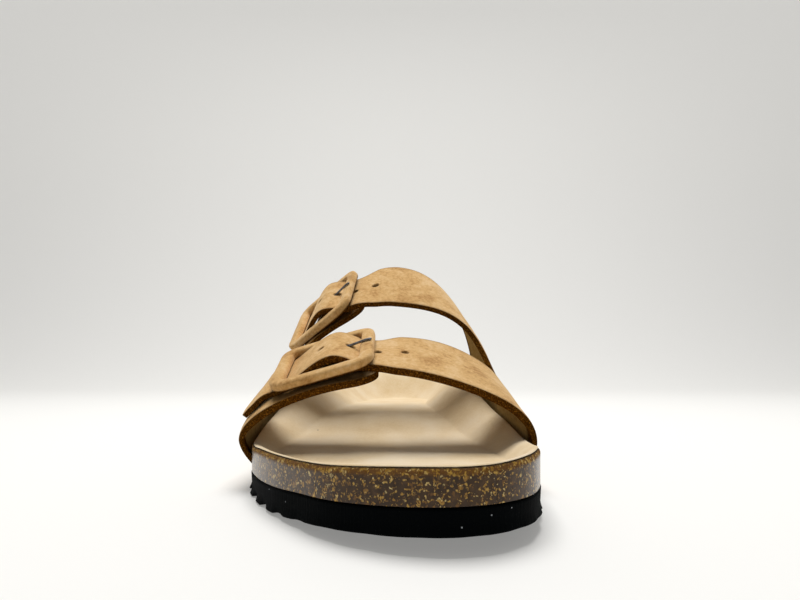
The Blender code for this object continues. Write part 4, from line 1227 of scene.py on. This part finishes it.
def footbed(material):
    """Cork footbed: hidden top under its cover, lacquered side, bare crumbly strip at its upper edge."""
    loop = sole_loop(420)
    shares = np.concatenate([np.linspace(1.0, 0.1, 22), [0.06]])
    tops = [share_ring(loop, share) for share in shares]
    tops += [inset_ring(loop, inset) for inset in (2.0, COVER_INSET)]
    rings = [
        with_height(plan, bed_height(loop, plan) - cover_thickness(loop, plan) - BOND) for plan in tops
    ]
    crumbs, gap_shadows = [1.0] * len(rings), [1.0] * len(rings)
    side_top = rings[-1][:, 2] - 0.1
    base = layer_height(loop["edge"], "foam") + GAP
    pocket = in_pocket(loop)
    inner = pocket * (STRAP + 2 * GAP)
    for drop in CRUMB_DROPS:
        crumb = 1 - ease((drop - CRUMB_FULL) / CRUMB_FADE)
        height = np.maximum(side_top - drop, base + LEAST_SIDE)
        ring = with_height(outset_ring(loop, -RIM_ROUND * math.exp(-drop / RIM_ROUND)), height)
        rough = CRUMB_ROUGH * crumb * (ripple(ring, 1.3) + 0.6 * ripple(ring, 0.7))
        ring[:, :2] += loop["outward"] * np.minimum(rough, 0.05)[:, None]
        rings.append(ring)
        crumbs.append(crumb)
        # Painted shadow under the cover's edge, fading down from the top row.
        gap_shadows.append(0.7 * math.exp(-drop / 0.12))
    roof = base + pocket * (STRAP + 1.4 * GAP)
    start = np.maximum(side_top - CRUMB_DROPS[-1], base + LEAST_SIDE)
    for share in (0.35, 0.7, 1.0):
        height = start + (roof - start) * share
        rings.append(with_height(inset_ring(loop, inner * ease((share - 0.35) / 0.6)), height))
    rings.append(with_height(inset_ring(loop, inner + pocket * POCKET_DEPTH), roof))
    rings.append(with_height(inset_ring(loop, inner + pocket * (POCKET_DEPTH + GAP)), base))
    for share in (0.34, 0.6, 1.0):
        plan = share_ring(loop, share)
        rings.append(with_height(plan, layer_height(plan, "foam") + GAP))
    bare = [0.0] * (len(rings) - len(crumbs))
    marks = {
        "crumb": np.repeat(crumbs + bare, len(loop["edge"])),
        "gap_shadow": np.repeat(gap_shadows + bare, len(loop["edge"])),
        "run": np.tile(loop["run"], len(rings)),
    }
    return loft("cork_footbed", rings, material, "footbed", marks)


def insole(material):
    """Suede cover over the bed, its cut edge rounded a little inside the cork's."""
    loop = sole_loop(360)
    shares = np.concatenate([np.linspace(1.0, 0.12, 64), np.linspace(0.11, 0.03, 12)])
    plans = [share_ring(loop, share) for share in shares]
    plans += [inset_ring(loop, inset) for inset in (1.6, 1.2)]
    tops = [with_height(plan, bed_height(loop, plan)) for plan in plans]
    edge = [
        with_height(inset_ring(loop, 0.9), tops[-1][:, 2] - 0.06),
        with_height(inset_ring(loop, 0.7), tops[-1][:, 2] - 0.24),
        with_height(inset_ring(loop, 0.9), tops[-1][:, 2] - 0.42),
    ]
    under = [
        with_height(plan, bed_height(loop, plan) - cover_thickness(loop, plan)) for plan in reversed(plans)
    ]
    return loft("cream_cover", tops + edge + under[::3] + under[-1:], material, "insole")


# Scene.

# The second suede, without sheen, carries the cut edges, the lining and the painted shade under the buckles.
suede = (
    suede_material("brushed_tan_suede", 0.35, 0.2),
    suede_material("cut_and_shaded_tan_suede", 0.0, 0.0),
)
steel = steel_material()
outsole(foam_material())
footbed(cork_material())
insole(cover_material())
strap_bands = [
    band(
        strap_point, strap, strap_rows(strap), shares_across(True), SEAM_GIRTH, strap["dark_margin"],
        holes=strap["holes"],
    )
    for strap in STRAPS.values()
]
tab_bands = [
    band(
        tab_point, strap, tab_rows(strap), shares_across(False), -SEAM_GIRTH, strap["tab_dark_margin"],
        shaded_stretch=SHADED_UNDER_BUCKLE,
    )
    for strap in STRAPS.values()
]
upper("medial_straps", strap_bands, suede, "upper_medial")
upper("lateral_tabs", tab_bands, suede, "upper_lateral")
for end, strap in STRAPS.items():
    buckle(end, strap, suede, steel)
    crossbar_loop(f"tab_loop_{end}", strap, suede)
    rod(f"wire_prong_{end}", strap, prong_path(), PRONG_RADIUS, steel, f"prong_{end}")


def studio():
    """White sweep: a floor that bends up into a wall behind. A large soft light above, a wash up the wall."""
    turn = np.linspace(0.0, math.pi / 2, 20)[1:]
    floor_y = np.concatenate([
        np.linspace(FLOOR_FRONT, BEND_STARTS, 24),
        BEND_STARTS + BEND_RADIUS * np.sin(turn),
        np.full(6, BEND_STARTS + BEND_RADIUS),
    ])
    floor_z = np.concatenate([
        np.zeros(24),
        BEND_RADIUS - BEND_RADIUS * np.cos(turn),
        np.linspace(BEND_RADIUS, WALL_TOP, 7)[1:],
    ])
    across = np.linspace(-SWEEP_HALF, SWEEP_HALF, 12)
    grid = np.stack(np.broadcast_arrays(across, floor_y[:, None], floor_z[:, None] - FLOOR_DROP), axis=-1)
    mesh = bpy.data.meshes.new("white_sweep")
    mesh.from_pydata(grid.reshape(-1, 3).tolist(), [], grid_faces(*grid.shape[:2]).tolist())
    mesh.shade_smooth()
    paper = new_material("white_paper", {
        "Base Color": linear("#D2D1CE"), "Roughness": 0.9, "Specular IOR Level": 0.1,
        "Emission Color": linear("#FFFEFB"), "Emission Strength": 0.25,
    })
    mesh.materials.append(paper[0])
    sweep_object = bpy.data.objects.new("white_sweep", mesh)
    bpy.context.scene.collection.objects.link(sweep_object)
    for name, place, tilt, width, depth, power in LIGHTS:
        data = bpy.data.lights.new(name, "AREA")
        data.shape = "RECTANGLE"
        data.size, data.size_y = width, depth
        data.energy = power
        lamp = bpy.data.objects.new(name, data)
        lamp.location = place
        lamp.rotation_euler = (math.radians(tilt), 0.0, 0.0)
        bpy.context.scene.collection.objects.link(lamp)
    world = bpy.data.worlds.new("pale_room")
    world.use_nodes = True
    background = world.node_tree.nodes["Background"]
    background.inputs["Color"].default_value = linear("#F4F4F2")
    background.inputs["Strength"].default_value = 0.2
    bpy.context.scene.world = world
    bpy.context.scene.view_settings.view_transform = "Standard"
    bpy.context.scene.view_settings.look = "None"


def camera():
    """Level camera ahead of the toe at 150 mm, 48 mm up, raised in its frame by a lens shift."""
    data = bpy.data.cameras.new("toe_view")
    data.sensor_width = 36.0
    data.lens = LENS
    data.shift_y = LENS_SHIFT
    data.clip_start = 0.005
    view = bpy.data.objects.new("toe_view", data)
    view.location = to_frame(CAMERA_AT)
    view.rotation_euler = (math.pi / 2, 0.0, 0.0)
    bpy.context.scene.collection.objects.link(view)
    bpy.context.scene.camera = view


studio()
camera()
